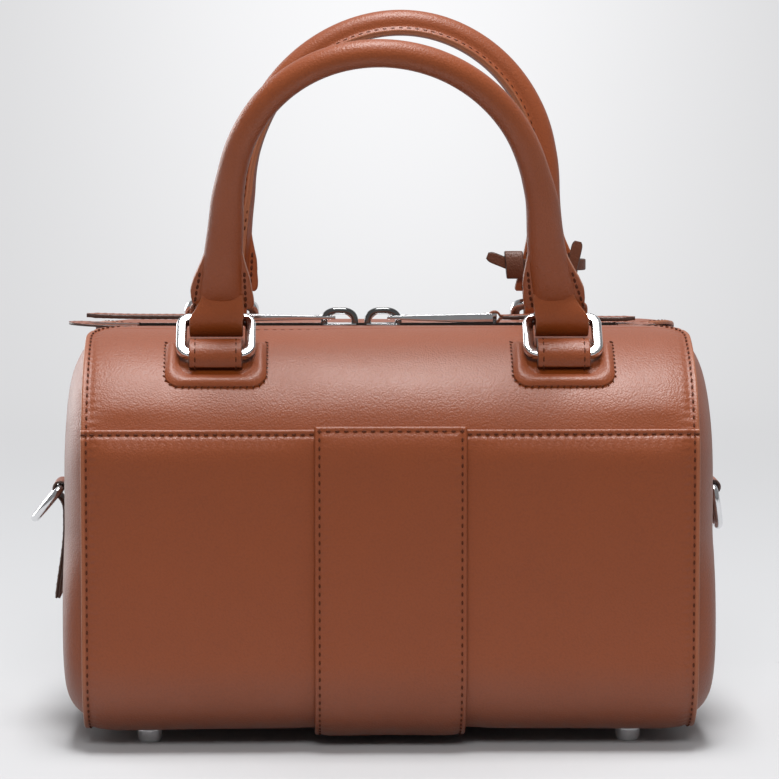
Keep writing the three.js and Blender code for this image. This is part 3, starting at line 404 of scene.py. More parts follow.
def body_normal(x, s):
    out_y, out_z = (np.interp(s, section_s, section_rows[:, i]) for i in (2, 3))
    x, out_y, out_z = np.broadcast_arrays(np.zeros_like(x), out_y, out_z)
    return np.stack([x, out_y, out_z], -1)


def smooth_step(value, low, high):
    t = np.clip((np.asarray(value, float) - low) / (high - low), 0, 1)
    return t * t * (3 - 2 * t)


def from_mouth(s):
    return np.minimum(s, GIRTH - s)


def half_length(s):
    draw = np.clip(1 - from_mouth(s) / CORNER_TRIM_RUN, 0, None)
    return BODY_HALF_LENGTH - CORNER_TRIM * draw * draw


def slab(outer, inner):
    rows, columns = outer.shape[:2]
    grid = np.arange(rows * columns).reshape(rows, columns)
    under = grid + rows * columns
    faces = []
    for i in range(rows - 1):
        for j in range(columns - 1):
            faces.append((grid[i, j], grid[i, j + 1], grid[i + 1, j + 1], grid[i + 1, j]))
            faces.append((under[i, j], under[i + 1, j], under[i + 1, j + 1], under[i, j + 1]))
        faces.append((grid[i, 0], grid[i + 1, 0], under[i + 1, 0], under[i, 0]))
        faces.append((grid[i + 1, -1], grid[i, -1], under[i, -1], under[i + 1, -1]))
    for j in range(columns - 1):
        faces.append((grid[0, j + 1], grid[0, j], under[0, j], under[0, j + 1]))
        faces.append((grid[-1, j], grid[-1, j + 1], under[-1, j + 1], under[-1, j]))
    return np.vstack([outer.reshape(-1, 3), inner.reshape(-1, 3)]), faces


def bands(tree, place, scale, distortion, direction):
    wave = add_node(tree, "ShaderNodeTexWave", {"Vector": place, "Scale": scale, "Distortion": distortion},
                    wave_type="BANDS", bands_direction=direction)
    return wave.outputs["Fac"]


def cloth_weave():
    group, given, result = shader_group("cloth_weave", ("Dark", "Light"), ("Threads",), ("Colour", "Height"))
    place = object_place(group)
    weft_threads = sums(group, "MULTIPLY", given["Threads"], 0.8)
    yarn = sums(group, "MULTIPLY", bands(group, place, given["Threads"], 0.6, "DIAGONAL"),
                bands(group, place, weft_threads, 0.6, "X"))
    feed(group, result, {"Colour": blended(group, yarn, given["Dark"], given["Light"]), "Height": yarn})
    return group


weave_group = cloth_weave()


def woven_cloth(name, dark, light, threads):
    material, tree, shader = new_material(name)
    weave = add_node(tree, "ShaderNodeGroup", node_tree=weave_group)
    feed(tree, weave, {"Dark": dark, "Light": light, "Threads": threads})
    feed(tree, shader, {"Base Color": weave.outputs["Colour"], "Roughness": 0.9, "Sheen Weight": 0.2,
                        "Normal": bumped(tree, weave.outputs["Height"], strength=0.5, distance=0.0002)})
    return material


lining_twill = woven_cloth("lining_twill", TWILL_DARK, TWILL_LIGHT, TWILL_THREADS)
base_start = station_at(BODY_BASE + BASE_CORNER)
base_end = base_start + BASE_CORNER * math.pi / 2
lining_s = np.linspace(LINING_START, GIRTH - LINING_START, 150)[:, None]
lining_x = np.linspace(-1, 1, 40) * (half_length(lining_s) - BODY_HALF_LENGTH + LINING_HALF_LENGTH)
lining_in = LINING_DEPTH + LINING_LIFT * smooth_step(from_mouth(lining_s), base_start, base_end)
points, faces = slab(on_body(lining_x, lining_s, -lining_in),
                     on_body(lining_x, lining_s, -lining_in - LINING_CLOTH))
lining = closed_piece("lining_cloth", points, faces, lining_twill, "bag", "lining_wrap")


def dome_rings(levels, depth):
    s = np.linspace(0, GIRTH, 181)
    level = smooth_step(from_mouth(s), END_DIP_START, END_DIP_END)
    rim = on_body(0 * s, s, -LINING_DEPTH - (1 - level) * END_DIP)
    low = smooth_step(END_MIDDLE - rim[:, 2], 0, END_BASE_RUN)
    rounding = END_ROUNDING + (END_BASE_ROUNDING - END_ROUNDING) * low
    rings = []
    for level in levels:
        drop = (END_REACH - half_length(s) + END_TUCK) * level ** rounding
        z = END_MIDDLE + (rim[:, 2] - END_MIDDLE) * level
        rings.append(np.stack([END_REACH - drop - depth, rim[:, 1] * level, z], -1))
    return rings


def dome(depth, thickness, side):
    levels = np.concatenate([np.linspace(0.05, 0.7, 9), np.linspace(0.74, 1, 20)])
    points, faces = loft(dome_rings(levels, depth) + dome_rings(levels, depth + thickness)[::-1])
    return points * np.array([side, 1, 1]), faces


for side, sign in (("right", 1), ("left", -1)):
    points, faces = dome(END_LINING_DEPTH, LINING_CLOTH, sign)
    cloth = closed_piece(f"{side}_end_lining_cloth", points, faces, lining_twill, "bag",
                         f"{side}_end_lining")

# Domed end panels. Full-grain calf leather with a fine pebble, wet-moulded to a shallow dome and turned in
# under the panels, which are sewn down over its rim.
LEATHER_BROWN = (0.238, 0.047, 0.006, 1)
LEATHER_DEEP = (0.160, 0.030, 0.004, 1)
# Lighter edge colour, mixed in by the edge attribute: edge paint and a painted highlight along the seam
# edges, the handles' lips and leaves.
EDGE_PAINT_AND_HIGHLIGHT = (0.36, 0.125, 0.055, 1)
PEBBLE = 0.0008
PANEL_RELIEF = 0.42
PUCKER = 0.55
END_LEATHER = 1.8


def leather_grain():
    group, given, result = shader_group("leather_grain", ("Leather", "Deep", "Edge colour"), ("Pebble size",),
                                        ("Colour", "Roughness", "Height"))
    place = object_place(group)
    sway = noise(group, place, Scale=420.0, Detail=2.0).outputs["Color"]
    shift = add_node(group, "ShaderNodeVectorMath", {0: sway, "Scale": 0.0005}, operation="SCALE").outputs[0]
    fine = sums(group, "DIVIDE", 1.0, given["Pebble size"])
    moved = vectors(group, "ADD", place, shift)
    pebble = add_node(group, "ShaderNodeTexVoronoi", {"Vector": moved, "Scale": fine}).outputs["Distance"]
    pore = noise(group, place, Scale=2400.0, Detail=3.0).outputs["Fac"]
    cloud = noise(group, place, Scale=38.0, Detail=4.0, Roughness=0.6).outputs["Fac"]
    # The pebble's creases are painted darker with the deep colour, a painted shade. The cloud patches darken
    # the tone at random.
    crease_shade = ranged(group, pebble, 0.35, 0.85, 0.0, 0.30)
    patch = ranged(group, cloud, 0.35, 0.75, 0.0, 0.16)
    deep = sums(group, "ADD", crease_shade, patch, use_clamp=True)
    skin = blended(group, deep, given["Leather"], given["Deep"])
    edge = add_node(group, "ShaderNodeAttribute", attribute_name="edge").outputs["Fac"]
    seam = add_node(group, "ShaderNodeAttribute", attribute_name="seam").outputs["Vector"]
    run = add_node(group, "ShaderNodeAttribute", attribute_name="run").outputs["Vector"]
    pull = vectors(group, "DOT_PRODUCT", seam, vectors(group, "COSINE", run), output="Value")
    raised = sums(group, "MULTIPLY_ADD", pebble, -0.8, 0.8)
    height = sums(group, "MULTIPLY_ADD", pore, 0.35, raised)
    feed(group, result, {"Colour": blended(group, edge, skin, given["Edge colour"]),
                         "Roughness": ranged(group, cloud, 0.3, 0.7, 0.45, 0.53),
                         "Height": sums(group, "MULTIPLY_ADD", pull, PUCKER, height)})
    return group


grain_group = leather_grain()


def leather(name, colour, deep, relief, edge_colour):
    material, tree, shader = new_material(name)
    skin = add_node(tree, "ShaderNodeGroup", node_tree=grain_group)
    feed(tree, skin, {"Leather": colour, "Deep": deep, "Edge colour": edge_colour, "Pebble size": PEBBLE})
    feed(tree, shader, {"Base Color": skin.outputs["Colour"], "Roughness": skin.outputs["Roughness"],
                        "Normal": bumped(tree, skin.outputs["Height"], relief, distance=0.0003),
                        "Specular IOR Level": 0.85})
    return material


panel_leather = leather("panel_leather", LEATHER_BROWN, LEATHER_DEEP, PANEL_RELIEF, EDGE_PAINT_AND_HIGHLIGHT)


def mark_edges(piece, amounts):
    layer = piece.data.attributes.new("edge", "FLOAT", "POINT")
    layer.data.foreach_set("value", np.asarray(amounts, np.float32))


def mark_seams(piece, pulls, runs):
    for name, values in (("seam", pulls), ("run", runs)):
        rows = np.stack([np.ravel(v) for v in np.broadcast_arrays(*values, 0.0)], -1)
        layer = piece.data.attributes.new(name, "FLOAT_VECTOR", "POINT")
        layer.data.foreach_set("vector", np.tile(rows, (2, 1)).astype(np.float32).ravel())


for side, sign in (("right", 1), ("left", -1)):
    points, faces = dome(0, END_LEATHER, sign)
    closed_piece(f"{side}_end_dome", points, faces, panel_leather, "bag", f"{side}_end_panel")

# Upper panels, front and back. The same calf leather, one panel each side of the zip, folded in along the
# zip and topstitched, and sewn down over the end domes near its end edges with waxed thread.
LOWER_EDGE_HEIGHT = 118.7
LOWER_EDGE = station_at(LOWER_EDGE_HEIGHT)
UPPER_END = LOWER_EDGE + 10.0
PANEL_LEATHER = 1.6
EDGE_ROUND = 0.7
EDGE_LINE = 0.3
EDGE_STRIP = 1.6
SEAM_INSET = 2.1
SEAM_DIP = 0.5
SEAM_PUFF = 0.7
SEAM_PULL = 2.4
SEAM_PULL_WIDTH = 1.7
MOUTH_STITCH = 15.0
MOUTH_STITCH_END = 104 - SEAM_INSET
MOUTH_FINE = [0, 0.15, 0.4, 0.7, 1.4, 2.6, 4.2, 6, 8, 10, 12, 13, 13.8, 14.5, 15, 15.5, 16.2, 17, 18]
EDGE_FINE = (0, 0.15, 0.4, 0.7, 1.2, 1.7, 2.1, 2.6, 3.1, 3.7, 4.5, 5.5, 7, 9, 12, 16)
TRIMMED_WIDTH = 40
THREAD = {"Pitch": 3.2, "Length": 1.9, "Width": 0.85, "Height": 0.5, "Slant": 0.0}
THREAD_BROWN = (0.058, 0.014, 0.006, 1)
THREAD_LIGHT = (0.115, 0.030, 0.013, 1)


def yarn_twist():
    group, given, result = shader_group("yarn_twist", ("Dark", "Light"), ("Strands", "Waviness"),
                                        ("Colour", "Height"))
    twist = bands(group, object_place(group), given["Strands"], given["Waviness"], "DIAGONAL")
    feed(group, result, {"Colour": blended(group, twist, given["Dark"], given["Light"]), "Height": twist})
    return group


twist_group = yarn_twist()


def twisted(name, strands, waviness, dark, light, strength, distance, finish):
    material, tree, shader = new_material(name)
    twist = add_node(tree, "ShaderNodeGroup", node_tree=twist_group)
    feed(tree, twist, {"Strands": strands, "Waviness": waviness, "Dark": dark, "Light": light})
    feed(tree, shader, {"Base Color": twist.outputs["Colour"], **finish,
                        "Normal": bumped(tree, twist.outputs["Height"], strength, distance)})
    return material


waxed_thread = twisted("waxed_thread", 900.0, 1.5, THREAD_BROWN, THREAD_LIGHT, strength=0.4, distance=0.0001,
                       finish={"Roughness": 0.6, "Specular IOR Level": 0.2})


def growth_group(name, shape, sizes, finish, output):
    group = bpy.data.node_groups.new(name, "GeometryNodeTree")
    group.interface.new_socket(shape, in_out="INPUT", socket_type="NodeSocketGeometry")
    for label in sizes:
        kind = "NodeSocketVector" if label == "Size" else "NodeSocketFloat"
        group.interface.new_socket(label, in_out="INPUT", socket_type=kind)
    group.interface.new_socket(finish, in_out="INPUT", socket_type="NodeSocketMaterial")
    group.interface.new_socket(output, in_out="OUTPUT", socket_type="NodeSocketGeometry")
    given = group.nodes.new("NodeGroupInput").outputs
    result = group.nodes.new("NodeGroupOutput")
    curve = add_node(group, "GeometryNodeMeshToCurve", {"Mesh": given[shape]}).outputs[0]
    even = add_node(group, "GeometryNodeResampleCurve", {"Curve": curve, "Length": given["Pitch"]},
                    mode="LENGTH")
    return group, given, result, even.outputs[0]


def laid_out(group, points, instance, rotation=None):
    spread = {"Points": points, "Instance": instance}
    if rotation:
        spread["Rotation"] = rotation
    laid = add_node(group, "GeometryNodeInstanceOnPoints", spread).outputs[0]
    return add_node(group, "GeometryNodeRealizeInstances", {"Geometry": laid}).outputs[0]


def stitch_tree():
    group, given, result, even = growth_group("stitch_rows", "Rows", THREAD, "Thread", "Stitches")
    up = add_node(group, "GeometryNodeInputNamedAttribute", {"Name": "up"},
                  data_type="FLOAT_VECTOR").outputs[0]
    along = add_node(group, "GeometryNodeInputTangent").outputs[0]
    turn = add_node(group, "FunctionNodeAxesToRotation", {"Primary Axis": up, "Secondary Axis": along},
                    primary_axis="Z", secondary_axis="X").outputs[0]
    bead = add_node(group, "GeometryNodeMeshUVSphere", {"Segments": 8, "Rings": 5, "Radius": 0.5}).outputs[0]
    size = add_node(group, "ShaderNodeCombineXYZ",
                    {0: given["Length"], 1: given["Width"], 2: given["Height"]})
    long = add_node(group, "GeometryNodeTransform", {"Geometry": bead, "Scale": size.outputs[0]}).outputs[0]
    lean = add_node(group, "FunctionNodeAxisAngleToRotation", {"Axis": (0, 0, 1), "Angle": given["Slant"]})
    skewed = add_node(group, "FunctionNodeRotateRotation", {"Rotation": turn, "Rotate By": lean.outputs[0]},
                      rotation_space="LOCAL").outputs[0]
    real = laid_out(group, even, long, skewed)
    soft = add_node(group, "GeometryNodeSetShadeSmooth", {"Geometry": real}).outputs[0]
    dyed = add_node(group, "GeometryNodeSetMaterial", {"Geometry": soft, "Material": given["Thread"]})
    feed(group, result, {"Stitches": dyed.outputs[0]})
    return group


stitching = stitch_tree()


def settled(piece, modifier):
    graph = bpy.context.evaluated_depsgraph_get()
    mesh = bpy.data.meshes.new_from_object(piece.evaluated_get(graph), depsgraph=graph)
    piece.modifiers.remove(modifier)
    old, piece.data = piece.data, mesh
    bpy.data.meshes.remove(old)


def grown(piece, group, settings):
    modifier = piece.modifiers.new("grown", "NODES")
    modifier.node_group = group
    for item in group.interface.items_tree:
        if item.in_out == "INPUT" and item.name in settings:
            modifier[item.identifier] = settings[item.name]
    settled(piece, modifier)


def stitches(name, rows, body, slot="leather", **settings):
    points, links, ups = [], [], []
    for row, normals in rows:
        links += [(len(points) + i, len(points) + i + 1) for i in range(len(row) - 1)]
        points += list(np.asarray(row) * MM)
        ups += list(np.broadcast_to(normals, np.shape(row)))
    mesh = bpy.data.meshes.new(name)
    mesh.from_pydata([tuple(p) for p in points], links, [])
    layer = mesh.attributes.new("up", "FLOAT_VECTOR", "POINT")
    layer.data.foreach_set("vector", np.asarray(ups, np.float32).ravel())
    piece = placed(name, mesh)
    sizes = {label: value if label == "Slant" else value * MM
             for label, value in {**THREAD, **settings}.items()}
    grown(piece, stitching, {**sizes, "Thread": waxed_thread})
    joined(piece, body)


def edge_lines(length, fine=EDGE_FINE, step=6.0):
    inner = np.linspace(fine[-1], length - fine[-1], max(3, int((length - 2 * fine[-1]) / step)))
    return np.concatenate([fine[:-1], inner, length - np.array(fine[:-1])[::-1]])


def rounded(distance, radius):
    short = np.clip(radius - distance, 0, radius)
    return radius - np.sqrt(radius * radius - short * short)


def groove(distance, at, depth, width):
    return depth * np.exp(-((distance - at) / width) ** 2)


def swell(distance, start, peak, height):
    return height * smooth_step(distance, start, peak) * (1 - 0.6 * smooth_step(distance, peak, 4 * peak))


def ripple(x, s):
    return 0.14 * (np.sin(x / 23 + s / 41) + np.sin(x / 37 - s / 29 + 1.3) + np.sin(x / 61 + s / 19 + 0.4))


def seam_groove(side):
    return groove(side, SEAM_INSET + 1.0, SEAM_DIP, width=1.2)


def upper_height(x, s):
    side = half_length(s) - np.abs(x)
    free = 1 - smooth_step(s, LOWER_EDGE - 9, LOWER_EDGE - 1)
    lift = swell(side, 3.0, 13.0, SEAM_PUFF) + ripple(x, s) * smooth_step(side, 4, 20)
    lift = lift * smooth_step(s, 2, 14) * free
    dip = seam_groove(side) + groove(s, MOUTH_STITCH, depth=0.3, width=0.8)
    return lift - dip * free - rounded(side, EDGE_ROUND) - rounded(s, EDGE_ROUND)


def panel_columns(s):
    lines = edge_lines(2 * BODY_HALF_LENGTH)
    half = half_length(s)
    from_right = lines - 2 * BODY_HALF_LENGTH
    trimmed = np.where(from_right >= -TRIMMED_WIDTH, from_right + half, lines - BODY_HALF_LENGTH)
    return np.where(lines <= TRIMMED_WIDTH, lines - half, trimmed)


def mark_panel(piece, side, s, x, cross, cross_at, cross_share):
    # A lighter strip along each end edge: edge paint with a painted highlight.
    strip = 0.9 * (side < EDGE_LINE) + 0.4 * ((side >= EDGE_LINE) & (side < EDGE_STRIP))
    mark_edges(piece, np.concatenate([strip.ravel(), np.zeros(x.size)]))
    mark_pulls(piece, (side, SEAM_INSET, 1.0), (cross, cross_at, cross_share), s, x)


def mark_pulls(piece, along, across, s, x):
    pulls = [share * groove(distance, at + SEAM_PULL, 1.0, SEAM_PULL_WIDTH)
             for distance, at, share in (along, across)]
    mark_seams(piece, pulls, (2 * math.pi * s / THREAD["Pitch"], 2 * math.pi * x / THREAD["Pitch"]))


def body_row(x, s, height, turn=1):
    return on_body(x, s, height) * turn, body_normal(x, s) * turn


def seam_rows(s_from, s_to, height, turn):
    s = np.linspace(s_from, s_to, 90)
    return [body_row(side * (half_length(s) - SEAM_INSET), s, height, turn) for side in (-1, 1)]


FRONT = np.array([1, 1, 1])
BACK = np.array([-1, -1, 1])
s = np.concatenate([MOUTH_FINE, np.linspace(19.5, UPPER_END, 44)])[:, None]
x = panel_columns(s)
points, faces = slab(on_body(x, s, upper_height(x, s)), on_body(x, s, np.full_like(x, -PANEL_LEATHER)))
for side, turn in (("front", FRONT), ("back", BACK)):
    panel = closed_piece(f"{side}_upper_leather", points * turn, faces, panel_leather, "bag",
                         f"{side}_upper_panel")
    mark_panel(panel, half_length(s) - np.abs(x), s, x, s, MOUTH_STITCH, 0.5)
    mouth_x = np.linspace(-MOUTH_STITCH_END, MOUTH_STITCH_END, 60)
    rows = [body_row(mouth_x, np.full_like(mouth_x, MOUTH_STITCH), -0.12, turn)]
    rows += seam_rows(3.0, LOWER_EDGE - 1.5, -0.05, turn)
    stitches(f"{side}_upper_stitches", rows, "bag")

# Lower wrap panel. One long piece of the calf leather round the front, the base and the back, with its top
# edges folded under and topstitched over the upper panels.
LOWER_INNER = 0.3
LOWER_OUTER = 1.9
LOWER_ROUND = 1.0
FOLD_STITCH = 2.0
BAND_HALF_WIDTH = 28.5
LOWER_END = GIRTH - LOWER_EDGE


def lower_height(x, s):
    side = BODY_HALF_LENGTH - np.abs(x)
    edge = np.minimum(s - LOWER_EDGE, LOWER_END - s)
    clear = smooth_step(np.abs(x), BAND_HALF_WIDTH + 1, BAND_HALF_WIDTH + 13)
    lift = np.minimum(swell(side, 3.0, 13.0, SEAM_PUFF), SEAM_PUFF) * smooth_step(edge, 1, 12)
    lift = lift + swell(edge, 3.0, 9.0, 0.55) * smooth_step(side, 2, 12)
    lift = (lift + ripple(x, s) * smooth_step(side, 4, 20)) * clear
    dip = seam_groove(side) + groove(edge, FOLD_STITCH + 0.4, depth=0.55, width=0.8)
    return LOWER_OUTER + lift - dip - rounded(side, EDGE_ROUND) - rounded(edge, LOWER_ROUND)


s = (LOWER_EDGE + edge_lines(LOWER_END - LOWER_EDGE, step=4.0))[:, None]
x = panel_columns(s)
points, faces = slab(on_body(x, s, lower_height(x, s)), on_body(x, s, np.full_like(x, LOWER_INNER)))
lower = closed_piece("lower_wrap_leather", points, faces, panel_leather, "bag", "lower_wrap_panel")
edge = np.minimum(s - LOWER_EDGE, LOWER_END - s)
mark_panel(lower, BODY_HALF_LENGTH - np.abs(x), s, x, edge, FOLD_STITCH, 1.4)
fold_x = np.linspace(1, BODY_HALF_LENGTH - BAND_HALF_WIDTH - 1, 30)
rows = seam_rows(LOWER_EDGE + 2, LOWER_END - 2, LOWER_OUTER - 0.05, FRONT)
for start in (-BODY_HALF_LENGTH, BAND_HALF_WIDTH):
    for at in (LOWER_EDGE + FOLD_STITCH, LOWER_END - FOLD_STITCH):
        rows.append(body_row(start + fold_x, np.full_like(fold_x, at), LOWER_OUTER - 0.25))
stitches("lower_wrap_stitches", rows, "bag")

# Centre band. A wide strap of the same leather over a thin foam, folded at its edges, laid down the front,
# under the base and up the back, and topstitched along its sides and its two top ends.
BAND_INNER = 2.2
BAND_OUTER = 4.8
BAND_THREAD = 4.65
BAND_STITCH = 1.9
BAND_ROUND = 1.1
BAND_START = LOWER_EDGE - 0.5
BAND_END = GIRTH - BAND_START
BAND_FINE = (0, 0.12, 0.35, 0.7, 1.1, 1.6, 2.0, 2.4, 3.0, 4.0, 5.5, 7.5)
BAND_PULL = 0.7

s = (BAND_START + edge_lines(BAND_END - BAND_START, BAND_FINE, step=4.0))[:, None]
x = (edge_lines(2 * BAND_HALF_WIDTH, BAND_FINE, step=5.0) - BAND_HALF_WIDTH)[None, :]
side = BAND_HALF_WIDTH - np.abs(x) + 0 * s
edge = np.minimum(s - BAND_START, BAND_END - s)
near = np.minimum(side, edge)
height = BAND_OUTER + swell(near, 2.2, 7.0, 0.35) - groove(near, BAND_STITCH + 0.3, depth=0.3, width=0.8)
height = height - rounded(side, BAND_ROUND) - rounded(edge, BAND_ROUND)
points, faces = slab(on_body(x, s, height), on_body(x, s, np.full_like(side, BAND_INNER)))
band = closed_piece("centre_band_leather", points, faces, panel_leather, "bag", "centre_band")
mark_pulls(band, (side, BAND_STITCH, BAND_PULL), (edge, BAND_STITCH, BAND_PULL), s, x)
row_s = np.linspace(BAND_START + BAND_STITCH, BAND_END - BAND_STITCH, 160)
row_end = BAND_HALF_WIDTH - BAND_STITCH
rows = [body_row(np.full_like(row_s, at), row_s, BAND_THREAD) for at in (-row_end, row_end)]
row_x = np.linspace(-row_end, row_end, 30)
rows += [body_row(row_x, np.full_like(row_x, at), BAND_THREAD) for at in (row_s[0], row_s[-1])]
stitches("centre_band_stitches", rows, "bag")

# Zip tapes and teeth. Dark woven tape sewn under the panels' folded edges, with a row of bright metal teeth
# clamped on each free edge. A channel stays between the rows, where the sliders' webs run.
ZIP_LEFT = -104.0
ZIP_RIGHT = 97.0
TAPE_TOP = BODY_TOP - 1.9
TAPE_CLOTH = 0.8
TAPE_OUTER = 16.0
TAPE_INNER = 2.6
TAPE_SAG = 0.05
TEETH_LEFT = ZIP_LEFT + 2
TEETH_RIGHT = ZIP_RIGHT - 3
TOOTH_PITCH = 2.0
TOOTH_SIZE = (1.25, 2.3, 1.9)
TOOTH_REACH = 1.9
TEETH_HEIGHT = BODY_TOP - 2.3
TAPE_DARK = (0.016, 0.009, 0.007, 1)
TAPE_LIGHT = (0.048, 0.028, 0.021, 1)
TAPE_THREADS = 900

zip_weave = woven_cloth("zip_weave", TAPE_DARK, TAPE_LIGHT, TAPE_THREADS)


def tooth_tree():
    group, given, result, even = growth_group("zip_teeth", "Edge", ("Pitch", "Size"), "Metal", "Teeth")
    block = add_node(group, "GeometryNodeMeshCube", {"Size": given["Size"]}).outputs[0]
    soft = add_node(group, "GeometryNodeSubdivisionSurface", {"Mesh": block, "Level": 1, "Edge Crease": 0.5})
    real = laid_out(group, even, soft.outputs[0])
    shiny = add_node(group, "GeometryNodeSetMaterial", {"Geometry": real, "Material": given["Metal"]})
    feed(group, result, {"Teeth": shiny.outputs[0]})
    return group


teeth_rows = tooth_tree()
for name, sign, start in (("front", -1, 0.0), ("back", 1, TOOTH_PITCH / 2)):
    x = np.linspace(ZIP_LEFT, ZIP_RIGHT, 101)[:, None]
    y = sign * np.linspace(TAPE_INNER, TAPE_OUTER, 9)[None, :]
    z = TAPE_TOP - TAPE_SAG * (1 + np.sin(x / 9 + sign)) * (1 - np.abs(y) / TAPE_OUTER)
    top = np.stack(np.broadcast_arrays(x, y, z), -1)
    points, faces = slab(top, top - np.array([0, 0, TAPE_CLOTH]))
    ribbon = closed_piece(f"{name}_zip_ribbon", points, faces, zip_weave, "bag",
                          f"{name}_zip_tape")
    ends = np.array([(at + start, sign * TOOTH_REACH, TEETH_HEIGHT) for at in (TEETH_LEFT, TEETH_RIGHT)])
    mesh = bpy.data.meshes.new(f"{name}_zip_tooth_row")
    mesh.from_pydata([tuple(p) for p in ends * MM], [(0, 1)], [])
    row = placed(f"{name}_zip_tooth_row", mesh)
    grown(row, teeth_rows, {"Pitch": TOOTH_PITCH * MM, "Size": [v * MM for v in TOOTH_SIZE],
                            "Metal": polished_metal})
    joined(row, "bag", f"{name}_zip_teeth")

# Zip end tabs. Two thicknesses of leather with painted edges, folded over the ends of the zip and stitched
# round, with rounded free ends that stand out past the bag's top corners.
TAB_HALF_WIDTH = 8.5
TAB_MIDDLE = BODY_TOP - 0.5
TAB_HALF_THICK = 0.5
TAB_STITCH = 1.8
TAB_STITCH_END = 2.2
STRAP_FINE = (0, 0.08, 0.22, 0.45, 0.8, 1.4, 2.4)
STRAP_EDGE = (0.040, 0.019, 0.013, 1)
STRAP_EDGE_WIDTH = 0.3
STRAP_RELIEF = 0.5
X_AXIS = np.array([1.0, 0, 0])
Y_AXIS = np.array([0, 1.0, 0])
Z_AXIS = np.array([0, 0, 1.0])

strap_leather = leather("strap_leather", LEATHER_BROWN, LEATHER_DEEP, STRAP_RELIEF, STRAP_EDGE)


def strap(centres, ups, acrosses, half_widths, half_thicks, rounding, columns=7):
    count = len(centres)
    rows = zip(centres, np.broadcast_to(ups, (count, 3)), np.broadcast_to(acrosses, (count, 3)),
               np.broadcast_to(half_widths, count), np.broadcast_to(half_thicks, count))
    rings, edges = [], []
    for centre, up, across, wide, thick in rows:
        fine = np.array(STRAP_FINE) * min(1, wide / 3)
        lines = np.concatenate([fine - wide, np.linspace(fine[-1] - wide, wide - fine[-1], columns)[1:-1],
                                (wide - fine)[::-1]])
        height = thick - rounded(wide - np.abs(lines), min(rounding, thick))
        middle = centre + np.outer(lines, across)
        rings.append(np.vstack([middle + np.outer(height, up), (middle - np.outer(height, up))[::-1]]))
        near = (wide - np.abs(lines) < STRAP_EDGE_WIDTH).astype(float)
        edges.append(np.concatenate([near, near[::-1]]))
    points, faces = loft(rings)
    return points, faces, np.concatenate(edges)


def strap_piece(name, parts, body, node=None, paint=0.95, material=strap_leather):
    points, faces, edges = parts
    piece = closed_piece(name, points, faces, material, body, node, sharp=50)
    mark_edges(piece, paint * edges)


def rounded_end(length, half_width, steps=12):
    turn = np.linspace(0, math.pi / 2, steps)
    straight = np.linspace(0, length - half_width, 24)[:-1]
    along = np.concatenate([straight, length - half_width * (1 - np.sin(turn))])
    wide = np.concatenate([np.full_like(straight, half_width), np.maximum(half_width * np.cos(turn), 0.5)])
    return along, wide


for side, root, length, sign, lift in (("left", -97.0, 27.0, -1, 1.0), ("right", 90.0, 15.0, 1, 0.0)):
    along, wide = rounded_end(length, TAB_HALF_WIDTH)
    z = TAB_MIDDLE + lift * smooth_step(along, 5, length + 4)
    centres = np.stack([root + sign * along, 0 * along, z], -1)
    parts = strap(centres, Z_AXIS, Y_AXIS, wide, TAB_HALF_THICK, 0.4)
    strap_piece(f"{side}_zip_tab_leather", parts, "bag", f"{side}_zip_end_tab")
    keep = wide > TAB_STITCH_END
    top = centres[keep] + (TAB_HALF_THICK - 0.05) * Z_AXIS
    rows = [(top + np.outer(edge * (wide[keep] - TAB_STITCH), Y_AXIS), Z_AXIS) for edge in (-1, 1)]
    stitches(f"{side}_zip_tab_stitches", rows, "bag", "strap_leather", Width=0.55, Height=0.35)

# Zip shade strips. Narrow dark strips of the zip's woven tape along the folded edges of the mouth on both
# sides: painted shade, dark sheets that stand for the shade in the gap of the zip.
SHADE_STRIP_Y = 9.7
SHADE_STRIP_DROP = {"front": 1.5, "back": 1.3}
SHADE_STRIP_HALF_WIDTH = 1.0
SHADE_STRIP_HALF_THICK = 0.2

for name, sign in (("front", -1), ("back", 1)):
    along = np.linspace(ZIP_LEFT + 1, ZIP_RIGHT - 1, 60)
    centres = np.stack(np.broadcast_arrays(along, sign * SHADE_STRIP_Y, BODY_TOP - SHADE_STRIP_DROP[name]), -1)
    parts = strap(centres, sign * Y_AXIS, Z_AXIS, SHADE_STRIP_HALF_WIDTH, SHADE_STRIP_HALF_THICK,
                  SHADE_STRIP_HALF_THICK / 2, columns=4)
    strap_piece(f"{name}_zip_shade_strip", parts, "bag", material=zip_weave)

# Zip sliders and metal pulls. Die-cast and polished: a slider body of two plates with a bridge on top, and
# a flat pull that hangs on the bridge by its eye and has a slot for its leather strap. The pulls are left
# plain.
HARDWARE_BEVEL = 0.22
PULL_Z = BODY_TOP + 2.5
PULL_ROOT_X = {"left": -20.9, "right": 0.9}
STRAP_BAR_X = {"left": -62.1, "right": 42.1}
PULL_ROOT_SHARE = 0.85
PULL_END_SHARE = {"left": 2.0, "right": 2.9}
PULL_END_DROP = {"left": 0.0, "right": 0.5}
SLIDER_TOP = BODY_TOP + 0.2
SLIDER_MIDDLE_X = {"left": -18.5, "right": -1.5}
BRIDGE_REACH = 6.0
BRIDGE_RISE = 4.9
BRIDGE_SQUARENESS = 0.72
BRIDGE_SECTION = (2.7, 3.8)
BRIDGE_SOFTNESS = 0.6
# The slider bridges take a darker colour than the other metal, a painted shade standing for the darker
# reflections they show.
SHADED_METAL_WORN = (0.16, 0.165, 0.165, 1)
SHADED_METAL_BRIGHT = (0.27, 0.275, 0.275, 1)

shaded_metal = plated("shaded_metal", SHADED_METAL_WORN, SHADED_METAL_BRIGHT)


def pull_height(side, x, z):
    root, end = PULL_ROOT_X[side], STRAP_BAR_X[side]
    share = min(abs(x - root) / abs(end - root), 1)
    thicker = PULL_ROOT_SHARE + (PULL_END_SHARE[side] - PULL_ROOT_SHARE) * share
    return PULL_Z - PULL_END_DROP[side] * share + (z - PULL_Z) * thicker


